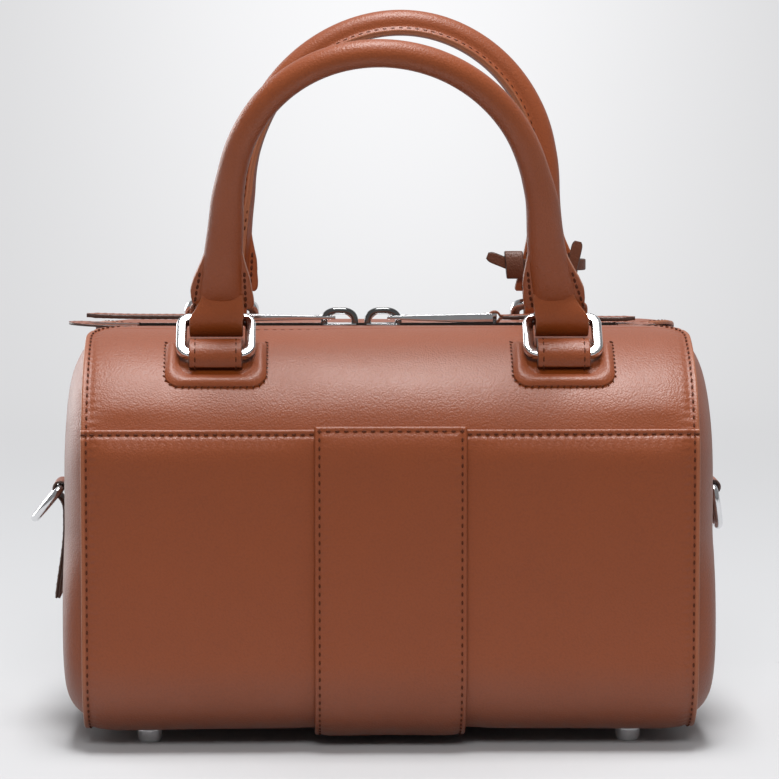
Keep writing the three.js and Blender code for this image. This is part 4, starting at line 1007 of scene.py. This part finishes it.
def bevelled_copy(name, node, body, wedge_side=None):
    mesh = bpy.data.meshes.new(name)
    form = bmesh.new()
    form.from_mesh(nodes[node].data)
    bmesh.ops.remove_doubles(form, verts=form.verts, dist=0.00001)
    bmesh.ops.dissolve_limit(form, angle_limit=math.radians(2), verts=form.verts, edges=form.edges)
    if wedge_side:
        for corner in form.verts:
            corner.co.z = pull_height(wedge_side, corner.co.x / MM, corner.co.z / MM) * MM
    form.to_mesh(mesh)
    form.free()
    mesh.materials.clear()
    mesh.materials.append(polished_metal)
    piece = placed(name, mesh)
    soften = piece.modifiers.new("soften", "BEVEL")
    soften.width = HARDWARE_BEVEL * MM
    soften.segments = 3
    soften.limit_method = "ANGLE"
    soften.angle_limit = math.radians(35)
    settled(piece, soften)
    piece.data.shade_smooth()
    piece.data.set_sharp_from_angle(angle=math.radians(40))
    joined(piece, body, node)


def soft_outline(width, depth, power, count):
    turn = np.linspace(0, 2 * math.pi, count, endpoint=False)
    unit = np.stack([np.cos(turn), np.sin(turn)], -1)
    return np.array([width / 2, depth / 2]) * np.sign(unit) * np.abs(unit) ** power


bridge_section = soft_outline(*BRIDGE_SECTION, BRIDGE_SOFTNESS, 20)
for side in ("left", "right"):
    bevelled_copy(f"{side}_slider_casting", f"{side}_zip_slider", f"{side}_slider")
    bevelled_copy(f"{side}_pull_casting", f"{side}_zip_pull", f"{side}_pull", side)
    rings = []
    for t in np.linspace(0, math.pi, 29):
        level = math.copysign(abs(math.cos(t)) ** BRIDGE_SQUARENESS, math.cos(t))
        rise = max(math.sin(t), 0) ** BRIDGE_SQUARENESS
        middle = np.array([SLIDER_MIDDLE_X[side] + BRIDGE_REACH * level, 0, SLIDER_TOP + BRIDGE_RISE * rise])
        out = np.array([math.cos(t), 0, math.sin(t)])
        rings.append([middle + u * out + v * Y_AXIS for u, v in bridge_section])
    points, faces = loft(rings)
    closed_piece(f"{side}_slider_bridge", points, faces, shaded_metal, f"{side}_slider",
                 sharp=60)

# Pull straps. A narrow leather tongue of two layers, folded round the end bar of each metal pull, glued and
# stitched along its edges, with painted edges and a pointed tip.
TONGUE_ROOT = 3.0
TONGUE_LENGTH = 55.0
TONGUE_HALF_WIDTH = 4.0
TONGUE_HALF_THICK = 0.8
TONGUE_STITCH = TONGUE_HALF_WIDTH - 1.2
PULL_FOLD_RADIUS = 2.1
PULL_FOLD_GAP = 0.28
PULL_FOLD_END = (3.6, 0.4)
PULL_FOLD_HALF_WIDTH = 1.75
PULL_FOLD_HALF_THICK = 0.45


def tongue_bow(along, rise):
    return rise * smooth_step(along, 8, TONGUE_LENGTH) + 0.25 * np.sin(along / 9) * smooth_step(along, 6, 14)


def path_normals(path):
    slope = np.gradient(path, axis=0)
    slope /= np.linalg.norm(slope, axis=1)[:, None]
    return np.stack([slope[:, 1], -slope[:, 0]], -1)


def upright(path, across=0.0):
    return np.stack(np.broadcast_arrays(path[:, 0], across, path[:, 1]), -1)


for side, sign, rise in (("left", -1, 1.0), ("right", 1, -0.5)):
    shoulder = TONGUE_LENGTH - TONGUE_HALF_WIDTH
    bar = np.array([STRAP_BAR_X[side], 0, PULL_Z])
    outward = np.array([sign, 1, 1])
    along = np.concatenate([[TONGUE_ROOT, 3.1, 3.4], np.linspace(4, shoulder, 24),
                            np.linspace(shoulder, TONGUE_LENGTH, 7)[1:]])
    wide = np.clip(TONGUE_LENGTH - along, 0.5, TONGUE_HALF_WIDTH)
    thick = TONGUE_HALF_THICK - rounded(along - TONGUE_ROOT, 0.5)
    centres = bar + outward * upright(np.stack([along, tongue_bow(along, rise)], -1))
    parts = strap(centres, Z_AXIS, Y_AXIS, wide, thick, 0.5)
    strap_piece(f"{side}_pull_tongue", parts, f"{side}_strap", f"{side}_pull_strap")
    turn = np.linspace(PULL_FOLD_GAP, 2 * math.pi - PULL_FOLD_GAP, 25)
    arc = PULL_FOLD_RADIUS * np.stack([np.cos(turn), np.sin(turn)], -1)
    arc = np.vstack([PULL_FOLD_END, arc, np.array(PULL_FOLD_END) * np.array([1, -1])])
    parts = strap(bar + outward * upright(arc), outward * upright(path_normals(arc)), Y_AXIS,
                  PULL_FOLD_HALF_WIDTH, PULL_FOLD_HALF_THICK, 0.3, columns=4)
    strap_piece(f"{side}_pull_fold", parts, f"{side}_strap", paint=0.4)
    row_x = np.linspace(6, shoulder, 40)
    row_z = tongue_bow(row_x, rise)
    rows = []
    for edge in (-1, 1):
        for face in (-1, 1):
            row = np.stack([row_x, row_z + face * (TONGUE_HALF_THICK - 0.05)], -1)
            rows.append((bar + outward * upright(row, edge * TONGUE_STITCH), face * Z_AXIS))
    stitches(f"{side}_pull_strap_stitches", rows, f"{side}_strap", "strap_leather", Width=0.5, Height=0.3,
             Pitch=3.0, Length=2.4)

# Ring patches. A U of leather over firm foam, sewn to the upper panels round each ring loop with short
# slanted stitches over its outer edge. The loop lies in the hollow of the U.
RING_X = 65.5
RING_STATION = 46.0
STRAP_HALF_WIDTH = 10.0
PATCH_HOLLOW = STRAP_HALF_WIDTH + 3.75
PATCH_RIDGE = 5.3
PATCH_TOP = RING_STATION - 13.5
PATCH_BOTTOM = RING_STATION + 12.9
PATCH_CORNER = 6.0
PATCH_BED = 0.15
PATCH_FOAM = 2.3
PATCH_EDGE = 0.7
PATCH_PEAK = 0.42
PATCH_THREAD = 0.75
RING_CORNERS = [(f"{set_name}_{side}", turn, sign * RING_X * turn[0])
                for set_name, turn in (("front", FRONT), ("rear", BACK))
                for side, sign in (("left", -1), ("right", 1))]


def u_path(half_width, bottom):
    turn = np.linspace(math.pi, math.pi / 2, 13)
    inset, low = PATCH_CORNER - half_width, bottom - PATCH_CORNER
    half = [(-half_width, s) for s in np.linspace(PATCH_TOP, low, 16)[:-1]]
    half += [(inset + PATCH_CORNER * math.cos(t), low + PATCH_CORNER * math.sin(t)) for t in turn]
    half += [(x, bottom) for x in np.linspace(inset, 0, 12)[1:]]
    return np.array(half + [(-x, s) for x, s in half[::-1][1:]])


outer = u_path(PATCH_HOLLOW + PATCH_RIDGE, PATCH_BOTTOM)
inner = u_path(PATCH_HOLLOW, PATCH_BOTTOM - PATCH_RIDGE)
share = np.concatenate([[0, 0, 0.03, 0.08], np.linspace(0.14, 0.9, 14), [0.96, 1, 1]])
puff = np.sqrt(smooth_step(share, -0.05, PATCH_PEAK)) * (1 - smooth_step(share, PATCH_PEAK, 1.3))
height = PATCH_EDGE + (PATCH_FOAM - PATCH_EDGE) * np.clip(puff / puff.max(), 0, 1)
height[0] = height[-1] = 0
ends = smooth_step(outer[:, 1], PATCH_TOP - 0.5, PATCH_TOP + 4)
spots = outer[:, None] + (inner - outer)[:, None] * share[:, None]
raised = PATCH_BED + height * (0.25 + 0.75 * ends[:, None])
for corner, turn, x_place in RING_CORNERS:
    points, faces = loft(on_body(x_place + spots[..., 0], spots[..., 1], raised) * turn)
    pad = closed_piece(f"{corner}_patch_pad", points, faces, panel_leather, "bag",
                       f"{corner}_ring_patch", sharp=60)
    rows = [body_row(x_place + outer[:, 0], outer[:, 1], PATCH_THREAD, turn)]
    stitches(f"{corner}_patch_stitches", rows, "bag", Pitch=2.4, Length=2.0, Width=0.7, Slant=0.9)

# Ring loops. A strap of doubled leather folded round each square ring's lower bar, with painted edges and a
# row of stitches near each side, sewn through the upper panel on its lower side.
LOOP_LINE = (
    (3.8, -3.3), (1.5, -3.35), (-1.0, -3.3), (-3.6, -2.5), (-5.5, -0.6), (-5.3, 1.9), (-3.5, 3.4),
    (-0.5, 3.8), (2.2, 3.1), (4.0, 1.4), (4.9, -0.6), (5.2, -2.0),
)
LOOP_FRONT = 24
LOOP_HALF_THICK = 0.75
LOOP_STITCH = STRAP_HALF_WIDTH - 2.3
STRAP_END_THICK = 0.45
RING_BAR_HEIGHT = 4.37


def smooth_line(points, steps):
    points = np.asarray(points, float)
    ends = np.vstack([2 * points[0] - points[1], points, 2 * points[-1] - points[-2]])
    t = np.linspace(0, 1, steps, endpoint=False)[:, None]
    parts = []
    for a, b, c, d in zip(ends, ends[1:], ends[2:], ends[3:]):
        bend = (2 * a - 5 * b + 4 * c - d) * t ** 2 + (3 * b - a - 3 * c + d) * t ** 3
        parts.append(b + 0.5 * ((c - a) * t + bend))
    return np.vstack([*parts, points[-1:]])


def thin_ends(count, half_thick):
    thick = np.full(count, half_thick)
    thick[0] = thick[-1] = STRAP_END_THICK
    return thick


loop_line = smooth_line(LOOP_LINE, 5)
bar_spot, bar_out = (spot[0] for spot in body_row(np.zeros(1), np.array([RING_STATION]), RING_BAR_HEIGHT))
loop_axes = np.array([(0, -bar_out[2], bar_out[1]), bar_out])
for corner, turn, x_place in RING_CORNERS:
    centres = (bar_spot + x_place * X_AXIS + loop_line @ loop_axes) * turn
    ups = path_normals(loop_line) @ loop_axes * turn
    parts = strap(centres, ups, X_AXIS, STRAP_HALF_WIDTH, thin_ends(len(centres), LOOP_HALF_THICK), 0.5)
    strap_piece(f"{corner}_loop_strap", parts, "bag", f"{corner}_ring_loop", paint=0.55)
    face = (centres - ups * (LOOP_HALF_THICK - 0.05))[LOOP_FRONT:]
    rows = [(face + edge * LOOP_STITCH * X_AXIS, -ups[LOOP_FRONT:]) for edge in (-1, 1)]
    stitches(f"{corner}_loop_stitches", rows, "bag", "strap_leather", Pitch=2.9, Length=2.4, Width=0.6)

# Square rings. Flat bright-plated rings with rounded corners and softened faces, whose lower bars lie in
# the leather loops and whose upper bars carry the handles.
RING_HALF_WIDTH = 13.0
RING_PITCH = 18.0
RING_CORNER = 3.6
RING_WIRE = (4.0, 3.4)
RING_SOFTNESS = 0.42
RING_TILT = math.radians(47)


def rounded_square(half, top, corner, steps):
    path = []
    for centre_x, centre_z, start in ((half - corner, corner, -0.5), (half - corner, top - corner, 0),
                                      (corner - half, top - corner, 0.5), (corner - half, corner, 1)):
        for t in np.linspace(start * math.pi, (start + 0.5) * math.pi, steps):
            c, s = math.cos(t), math.sin(t)
            path.append((centre_x + corner * c, centre_z + corner * s, c, s))
    return path


def turned_about_x(points, angle):
    points = np.asarray(points, float)
    c, s = math.cos(angle), math.sin(angle)
    y, z = points[..., 1], points[..., 2]
    return np.stack([points[..., 0], c * y - s * z, s * y + c * z], -1)


ring_section = soft_outline(*RING_WIRE, RING_SOFTNESS, 24)
ring_rows = np.array([[(x + u * nx, v, z + u * nz) for u, v in ring_section]
                      for x, z, nx, nz in rounded_square(RING_HALF_WIDTH, RING_PITCH, RING_CORNER, 10)])
for corner, turn, x_place in RING_CORNERS:
    spot = bar_spot + x_place * X_AXIS
    points, faces = loft((turned_about_x(ring_rows, -RING_TILT) + spot) * turn, looped=True)
    closed_piece(f"{corner}_square_ring", points, faces, polished_metal, f"{corner}_ring",
                 f"{corner}_ring", sharp=60)

# Handles. Leather rolled round a cord core, its two edges sewn together as a lip on the inner side, whose
# edge is coloured lighter as edge paint with a painted highlight. Each end flattens into a stitched leaf, and
# a strap from it folds round the upper bar of a square ring.
HANDLE_TOP = {"front": 116.0, "rear": 117.8}
HANDLE_LEG = 48.0
HANDLE_DRAW_IN = 6.5
HANDLE_RADIUS = 5.2
HANDLE_FOOT = 5.0
ROOT_LINE = (
    (5.0, 9.3, 2.2), (8.5, 9.1, 3.0), (12.0, 8.8, 4.0), (17.0, 8.2, 4.6), (30.0, 7.2, 4.9), (46.0, 6.4, 5.1),
    (62.0, 5.5, 5.2), (80.0, 5.2, 5.2),
)
FRONT_DRIFT = (
    ((5, 0), (17, -1.6), (30, -2.4), (45, -1.8), (60, -0.5), (75, -0.3), (95, -0.2), (113, 0)),
    ((5, 0), (17, -0.5), (30, -1.0), (45, -1.4), (60, -2.8), (75, -2.6), (95, -1.4), (113, 0)),
)
REAR_DRIFT = (
    ((5, -0.6), (10, -2.4), (16, -4.0), (30, -4.4), (48, -4.4), (62, -4.4), (77, -4.0), (95, -2.4), (113, 0)),
    ((5, 0), (17, 0.3), (34, 0.4), (48, -0.6), (62, -1.2), (77, -1.2), (95, -0.6), (113, 0)),
)
LIP = 2.6
LIP_START = 0.2
LIP_HALF_THICK = 1.2
LIP_FOOT = 13.0
LIP_FULL = 70.0
LIP_STITCH = HANDLE_RADIUS + 1.1
CORE_FOOT = 22.0
CORE_RADIUS = 3.6
LIP_STITCH_FOOT = CORE_FOOT + 8
LEAF_WIDEST = 13.0
LEAF_LINE = (
    (5.4, 10.4), (6.2, 11.3), (7.6, 11.7), (10, 11.8), (14, 11.5), (18, 10.6), (22, 9.2), (26, 7.9),
    (30, 6.9), (34, 6.2), (38, 5.6),
)
LEAF_HALF_THICK = 1.7
LEAF_STITCH = dict(Pitch=2.5, Length=2.2, Width=1.1, Height=0.8)
FOLD_LINE = (
    (-1.6, 11.5), (-2.3, 9.6), (-3.7, 7.6), (-5.2, 4.8), (-5.9, 1.5), (-5.4, -1.9), (-3.8, -4.6),
    (-1.2, -5.8), (1.5, -5.3), (3.6, -3.2), (4.2, -0.3), (3.7, 2.8), (2.6, 5.6), (1.6, 8.4), (1.0, 11.0),
)
FOLD_WIDTHS = ((4.0, 10.1), (10.0, 8.0))
# Painted light: the handles' leather is coloured about a fifth lighter than the panels' leather.
HANDLE_LIT_BROWN = (0.285, 0.059, 0.009, 1)
HANDLE_LIT_DEEP = (0.195, 0.038, 0.006, 1)
CORD_LIGHT = (0.60, 0.52, 0.40, 1)
CORD_DARK = (0.38, 0.31, 0.22, 1)

lit_handle_leather = leather("lit_handle_leather", HANDLE_LIT_BROWN, HANDLE_LIT_DEEP, PANEL_RELIEF, EDGE_PAINT_AND_HIGHLIGHT)
cotton_cord = twisted("cotton_cord", 240.0, 2.0, CORD_DARK, CORD_LIGHT, strength=0.6, distance=0.0004,
                      finish={"Roughness": 0.9})


def leg_spread(height):
    return HANDLE_DRAW_IN * (np.clip(HANDLE_LEG - height, 0, None) / HANDLE_LEG) ** 2


def leg_x(height):
    return RING_X - HANDLE_DRAW_IN + leg_spread(height)


def drifted(height, line):
    line = smooth_line(line, 6)
    return np.interp(height, line[:, 0], line[:, 1])


def handle_spine(foot, top, skew, drift, count):
    rise = top - HANDLE_RADIUS - HANDLE_LEG
    arch_half = RING_X - HANDLE_DRAW_IN
    leg = np.stack([np.full(200, -arch_half), np.linspace(foot, HANDLE_LEG, 200)], -1)
    turn = np.linspace(math.pi, 0, 800)[1:-1]
    arch = np.stack([arch_half * np.cos(turn), HANDLE_LEG + rise * np.sin(turn)], -1)
    line = np.vstack([leg, arch, leg[::-1] * np.array([-1, 1])])
    lift = np.clip(line[:, 1] - CORE_FOOT, 0, None) / (top - CORE_FOOT)
    side = np.sign(line[:, 0])
    sway = np.where(side < 0, *[drifted(line[:, 1], leg_drift) for leg_drift in drift])
    line[:, 0] += skew * lift * lift + side * leg_spread(line[:, 1]) + sway
    run = np.concatenate([[0], np.cumsum(np.linalg.norm(np.diff(line, axis=0), axis=1))])
    even = np.linspace(0, run[-1], count)
    path = np.stack([np.interp(even, run, line[:, i]) for i in (0, 1)], -1)
    slope = np.gradient(path, axis=0)
    return path, slope / np.linalg.norm(slope, axis=1)[:, None]


def lip_axes(turn):
    return np.array([-math.cos(turn), math.sin(turn)]), np.array([math.sin(turn), math.cos(turn)])


def root_size(height):
    heights, wide, deep = zip(*ROOT_LINE)
    return np.interp(height, heights, wide), np.interp(height, heights, deep)


def handle_section(height, lip_turn):
    along, across = lip_axes(lip_turn)
    r, thick = HANDLE_RADIUS, LIP_HALF_THICK
    tip = r + LIP_START + (LIP - LIP_START) * smooth_step(height, LIP_FOOT, LIP_FULL)
    tube = [(r * math.cos(t), r * math.sin(t)) for t in np.linspace(math.radians(30), math.radians(330), 27)]
    face = [(r * 0.985, -thick - 0.35), (r + 0.35, -thick - 0.05), (tip - 0.45, -thick),
            (tip - 0.15, -0.85 * thick), (tip, -0.45 * thick), (tip - 0.3, -0.06)]
    lips = face + [(a, -b) for a, b in face[::-1]]
    edge = [0] * len(tube) + [0, 0, 0] + [1] * 6 + [0, 0, 0]
    spots = np.array([a * along + b * across for a, b in tube + lips])
    return spots * np.array(root_size(height)) / r, edge


def round_bar(path, slope, spots):
    return [(x - slope_h * o, d, h + slope_x * o)
            for (x, h), (slope_x, slope_h) in zip(path, slope) for o, d in spots]


def circle(radius):
    return [(radius * math.cos(t), radius * math.sin(t)) for t in np.arange(16) * math.pi / 8]


def handle_world(points, turn, lean):
    bar = bar_spot + RING_PITCH * np.array([0, math.sin(RING_TILT), math.cos(RING_TILT)])
    return (turned_about_x(points, lean) + bar) * turn


LEAF_X = leg_x(LEAF_WIDEST)


def leaf_ring(height, centre_x):
    reach = np.interp(height, *zip(*LEAF_LINE))
    x = reach * np.sin(np.linspace(-math.pi / 2, math.pi / 2, 25))
    depth = LEAF_HALF_THICK - rounded(reach - np.abs(x), 0.9)
    front, back = (np.stack([centre_x + x, face * depth, np.full_like(x, height)], -1) for face in (-1, 1))
    near = (reach - np.abs(x) < 0.25).astype(float)
    return np.vstack([front, back[::-1]]), np.concatenate([near, near[::-1]])


def leaf_pieces(name, body, turn, lean, sign, leg_drift):
    heights = np.concatenate([[5.4, 5.6, 6.0, 6.6, 7.4], np.linspace(8.5, 38, 26)])
    middles = sign * leg_x(np.maximum(heights, LEAF_WIDEST)) + drifted(heights, leg_drift)
    plate, plate_edges = zip(*[leaf_ring(h, middle) for h, middle in zip(heights, middles)])
    points, faces = loft(handle_world(np.array(plate), turn, lean))
    leaf = closed_piece(f"{name}_leaf", points, faces, lit_handle_leather, body, sharp=50)
    mark_edges(leaf, 0.8 * np.concatenate(plate_edges))
    line = smooth_line(FOLD_LINE, 4)
    drawn_in = (RING_X - LEAF_X) * smooth_step(line[:, 1], 2, 11)
    middle = sign * (RING_X - drawn_in) + drifted(line[:, 1], leg_drift)
    centres = handle_world(np.column_stack([middle, line]), turn, lean)
    ups = turned_about_x(np.column_stack([0 * middle, path_normals(line)]), lean) * turn
    parts = strap(centres, ups, X_AXIS, np.interp(line[:, 1], *zip(*FOLD_WIDTHS)), LOOP_HALF_THICK, 0.5)
    strap_piece(f"{name}_fold", parts, body, paint=0.5, material=lit_handle_leather)
    h = np.linspace(7.0, 20.0, 20)
    rows = []
    for side in (-1, 1):
        for face in (-1, 1):
            row_x = sign * leg_x(h) + drifted(h, leg_drift) + side * (root_size(h)[0] + 0.5)
            row = np.stack([row_x, face * np.full_like(h, LEAF_HALF_THICK), h], -1)
            rows.append((handle_world(row, turn, lean), turned_about_x(face * Y_AXIS, lean) * turn))
    return rows


def handle_pieces(set_name, turn, lean, skew, drift, lip_turn):
    body = f"{set_name}_handle"
    path, slope = handle_spine(HANDLE_FOOT, HANDLE_TOP[set_name], skew, drift, 160)
    along, across = lip_axes(lip_turn)
    rings, edges, rows = [], [], [[], []]
    for (x, h), (slope_x, slope_h) in zip(path, slope):
        spots, edge = handle_section(h, lip_turn)
        rings.append(round_bar([(x, h)], [(slope_x, slope_h)], spots))
        edges.append(edge)
        if h > LIP_STITCH_FOOT:
            for i, face in enumerate((-1, 1)):
                o, d = along * LIP_STITCH + across * face * (LIP_HALF_THICK + 0.02)
                no, nd = across * face
                rows[i].append(((x - slope_h * o, d, h + slope_x * o), (-slope_h * no, nd, slope_x * no)))
    points, faces = loft(handle_world(np.array(rings), turn, lean))
    cover = closed_piece(f"{body}_roll", points, faces, lit_handle_leather, body, f"{body}_cover",
                         sharp=50)
    mark_edges(cover, np.concatenate(edges))
    lip_rows = []
    for row in rows:
        spots, normals = zip(*row)
        lip_rows.append((handle_world(spots, turn, lean), turned_about_x(normals, lean) * turn))
    stitches(f"{body}_stitches", lip_rows, body)
    leaf_rows = []
    for sign, leg_drift in zip((-1, 1), drift):
        label = "left" if sign * turn[0] < 0 else "right"
        leaf_rows += leaf_pieces(f"{body}_{label}", body, turn, lean, sign, leg_drift)
    stitches(f"{set_name}_leaf_stitches", leaf_rows, body, **LEAF_STITCH)
    path, slope = handle_spine(CORE_FOOT, HANDLE_TOP[set_name], skew, drift, 100)
    rings = np.reshape(round_bar(path, slope, circle(CORE_RADIUS)), (len(path), -1, 3))
    points, faces = loft(handle_world(rings, turn, lean))
    closed_piece(f"{body}_cord", points, faces, cotton_cord, body, f"{body}_core")


handle_pieces("front", FRONT, lean=math.radians(25), skew=-5.0, drift=FRONT_DRIFT, lip_turn=math.radians(70))
handle_pieces("rear", BACK, lean=0.0, skew=-7.0, drift=REAR_DRIFT, lip_turn=math.radians(60))

# Lace. A flat leather thong tied once round the base of the rear handle's right leg, with a flat knot in
# front and two short ends. It is tied on, and moves with the handle.
LACE_HEIGHT = 16.0
LACE_HALF_WIDTH = 2.25
LACE_HALF_THICK = 0.8
LACE_LOOP = (13.5, 6.6)
LACE_TIP = (1, 0.97, 0.86, 0.6)
KNOT_PLACE = (14.5, 4.3)
KNOT_HALF_WIDTH = LACE_HALF_WIDTH + 1.5
KNOT_DEPTH = 1.9
KNOT_HEIGHT = 4.8
KNOT_SWAY = 0.5
# The lace is coloured darker than the panels' leather, partly as painted shade.
LACE_BROWN = (0.125, 0.034, 0.012, 1)
LACE_DEEP = (0.080, 0.022, 0.008, 1)

lace_leather = leather("lace_leather", LACE_BROWN, LACE_DEEP, STRAP_RELIEF, STRAP_EDGE)
lace_place = np.array([drifted(LACE_HEIGHT, REAR_DRIFT[0]) - LEAF_X, 0, LACE_HEIGHT])


def lace_strap(name, points, ups, across, wide, node=None):
    centres = handle_world(np.stack(points, -1) + lace_place, BACK, 0.0)
    parts = strap(centres, ups * BACK, across * BACK, wide, LACE_HALF_THICK, 0.55, columns=5)
    strap_piece(f"rear_handle_lace_{name}", parts, "rear_handle", node, material=lace_leather)


def unit_rows(*columns):
    rows = np.stack(columns, -1)
    return rows / np.linalg.norm(rows, axis=1)[:, None]


t = np.linspace(0, 2 * math.pi, 49)
lace_strap("loop", (LACE_LOOP[0] * np.cos(t), LACE_LOOP[1] * np.sin(t), 0 * t),
           unit_rows(np.cos(t) / LACE_LOOP[0], np.sin(t) / LACE_LOOP[1], 0 * t), Z_AXIS, LACE_HALF_WIDTH,
           "rear_handle_lace")
t = np.linspace(0, 2 * math.pi, 33)
knot_x, knot_y = KNOT_PLACE
lace_strap("knot", (knot_x + KNOT_SWAY * np.sin(t), knot_y + KNOT_DEPTH * np.cos(t), KNOT_HEIGHT * np.sin(t)),
           unit_rows(0 * t, np.cos(t) / KNOT_DEPTH, np.sin(t) / KNOT_HEIGHT), X_AXIS, KNOT_HALF_WIDTH)
tip_width = LACE_HALF_WIDTH * np.concatenate([np.ones(10), LACE_TIP])
reach = np.linspace(0, 12, 14)
lace_strap("inner_end", (knot_x - 1 + reach, knot_y + 0.4 * np.sin(reach / 4), 0.4 * reach - 1.0), Y_AXIS,
           np.array([-0.37, 0, 0.93]), tip_width)
reach = np.linspace(0, 11, 14)
lace_strap("outer_end", (-8.4 - 0.22 * reach, 5.6 + 0.3 * np.sin(reach / 5), reach - 1.5), Y_AXIS,
           np.array([0.97, 0, 0.22]), tip_width)

# Side tabs. A strap of doubled leather on each end dome, folded at its top round the bar of a ring and sewn
# down along its length, with painted edges and a free lower end.
SIDE_BAR_X = 127.4
SIDE_BAR_Z = 89.7
SIDE_FOLD = 2.55
SIDE_OUTER = 1.5
SIDE_HALF_THICK = 0.52
SIDE_HALF_WIDTH = 8.0
SIDE_LENGTH = 43.0
SIDE_FALL = math.radians(-50)
SIDE_FALL_LINE = ((-0.4, -4.6), (-1.2, -6.4), (-1.48, -8.4))
SIDE_STITCH = SIDE_HALF_WIDTH - 2

for side, sign, lift in (("right", 1, 0.4), ("left", -1, 3.6)):
    turn = np.linspace(math.pi, SIDE_FALL, 18)
    low = [(-SIDE_FOLD, v) for v in np.linspace(-SIDE_LENGTH, -0.5, 20)]
    arc = SIDE_FOLD * np.stack([np.cos(turn), np.sin(turn)], -1)
    high = [(-SIDE_OUTER, v) for v in np.linspace(-11, -SIDE_LENGTH, 18)]
    line = np.vstack([low, arc, SIDE_FALL_LINE, high])
    line[:, 0] += lift * smooth_step(-line[:, 1], 14, SIDE_LENGTH + 6)
    outward = np.array([sign, 1, 1])
    centres = outward * (upright(line) + np.array([SIDE_BAR_X, 0, SIDE_BAR_Z]))
    ups = outward * upright(path_normals(line))
    parts = strap(centres, ups, Y_AXIS, SIDE_HALF_WIDTH, thin_ends(len(line), SIDE_HALF_THICK), 0.4)
    strap_piece(f"{side}_side_strap", parts, "bag", f"{side}_side_tab")
    sewn = slice(-len(high), -1)
    face = centres[sewn] - ups[sewn] * (SIDE_HALF_THICK - 0.03)
    rows = [(face + edge * SIDE_STITCH * Y_AXIS, -ups[sewn]) for edge in (-1, 1)]
    stitches(f"{side}_side_strap_stitches", rows, "bag", "strap_leather", Width=0.6, Height=0.4)

# Side rings. Round bright-plated wire bent to a D, its straight bar lying in the fold of the side tab and
# its bow hanging free. The left one stands further out, as the photo shows it.
SIDE_RING_WIRE = 1.6
SIDE_RING_HALF = 10.4
SIDE_RING_DROP = 16.0
SIDE_RING_CORNER = 3.0


def side_ring_path():
    half, corner, bow = SIDE_RING_HALF, SIDE_RING_CORNER, SIDE_RING_DROP - SIDE_RING_CORNER
    path = [(y, 0) for y in np.linspace(corner - half, half - corner, 10)]
    path += [(half - corner + corner * math.sin(t), corner * math.cos(t) - corner)
             for t in np.linspace(0, math.pi / 2, 8)[1:]]
    path += [(half * math.cos(t), -corner - bow * math.sin(t)) for t in np.linspace(0, math.pi, 40)[1:]]
    path += [(corner - half - corner * math.sin(t), corner * math.cos(t) - corner)
             for t in np.linspace(math.pi / 2, 0, 8)[1:-1]]
    return np.array(path)


path = side_ring_path()
slope = np.roll(path, -1, 0) - np.roll(path, 1, 0)
slope /= np.linalg.norm(slope, axis=1)[:, None]
wire = circle(SIDE_RING_WIRE)
for side, sign, swing in (("right", 1, math.radians(10)), ("left", -1, math.radians(40))):
    rings = []
    for (y, z), (slope_y, slope_z) in zip(path, slope):
        ring = []
        for a, b in wire:
            up = z - slope_y * a
            out = b * math.cos(swing) - up * math.sin(swing)
            height = b * math.sin(swing) + up * math.cos(swing)
            ring.append((sign * (SIDE_BAR_X + out), sign * (y + slope_z * a), SIDE_BAR_Z + height))
        rings.append(ring)
    points, faces = loft(rings, looped=True)
    closed_piece(f"{side}_d_ring", points, faces, polished_metal, f"{side}_side_ring",
                 f"{side}_side_ring")
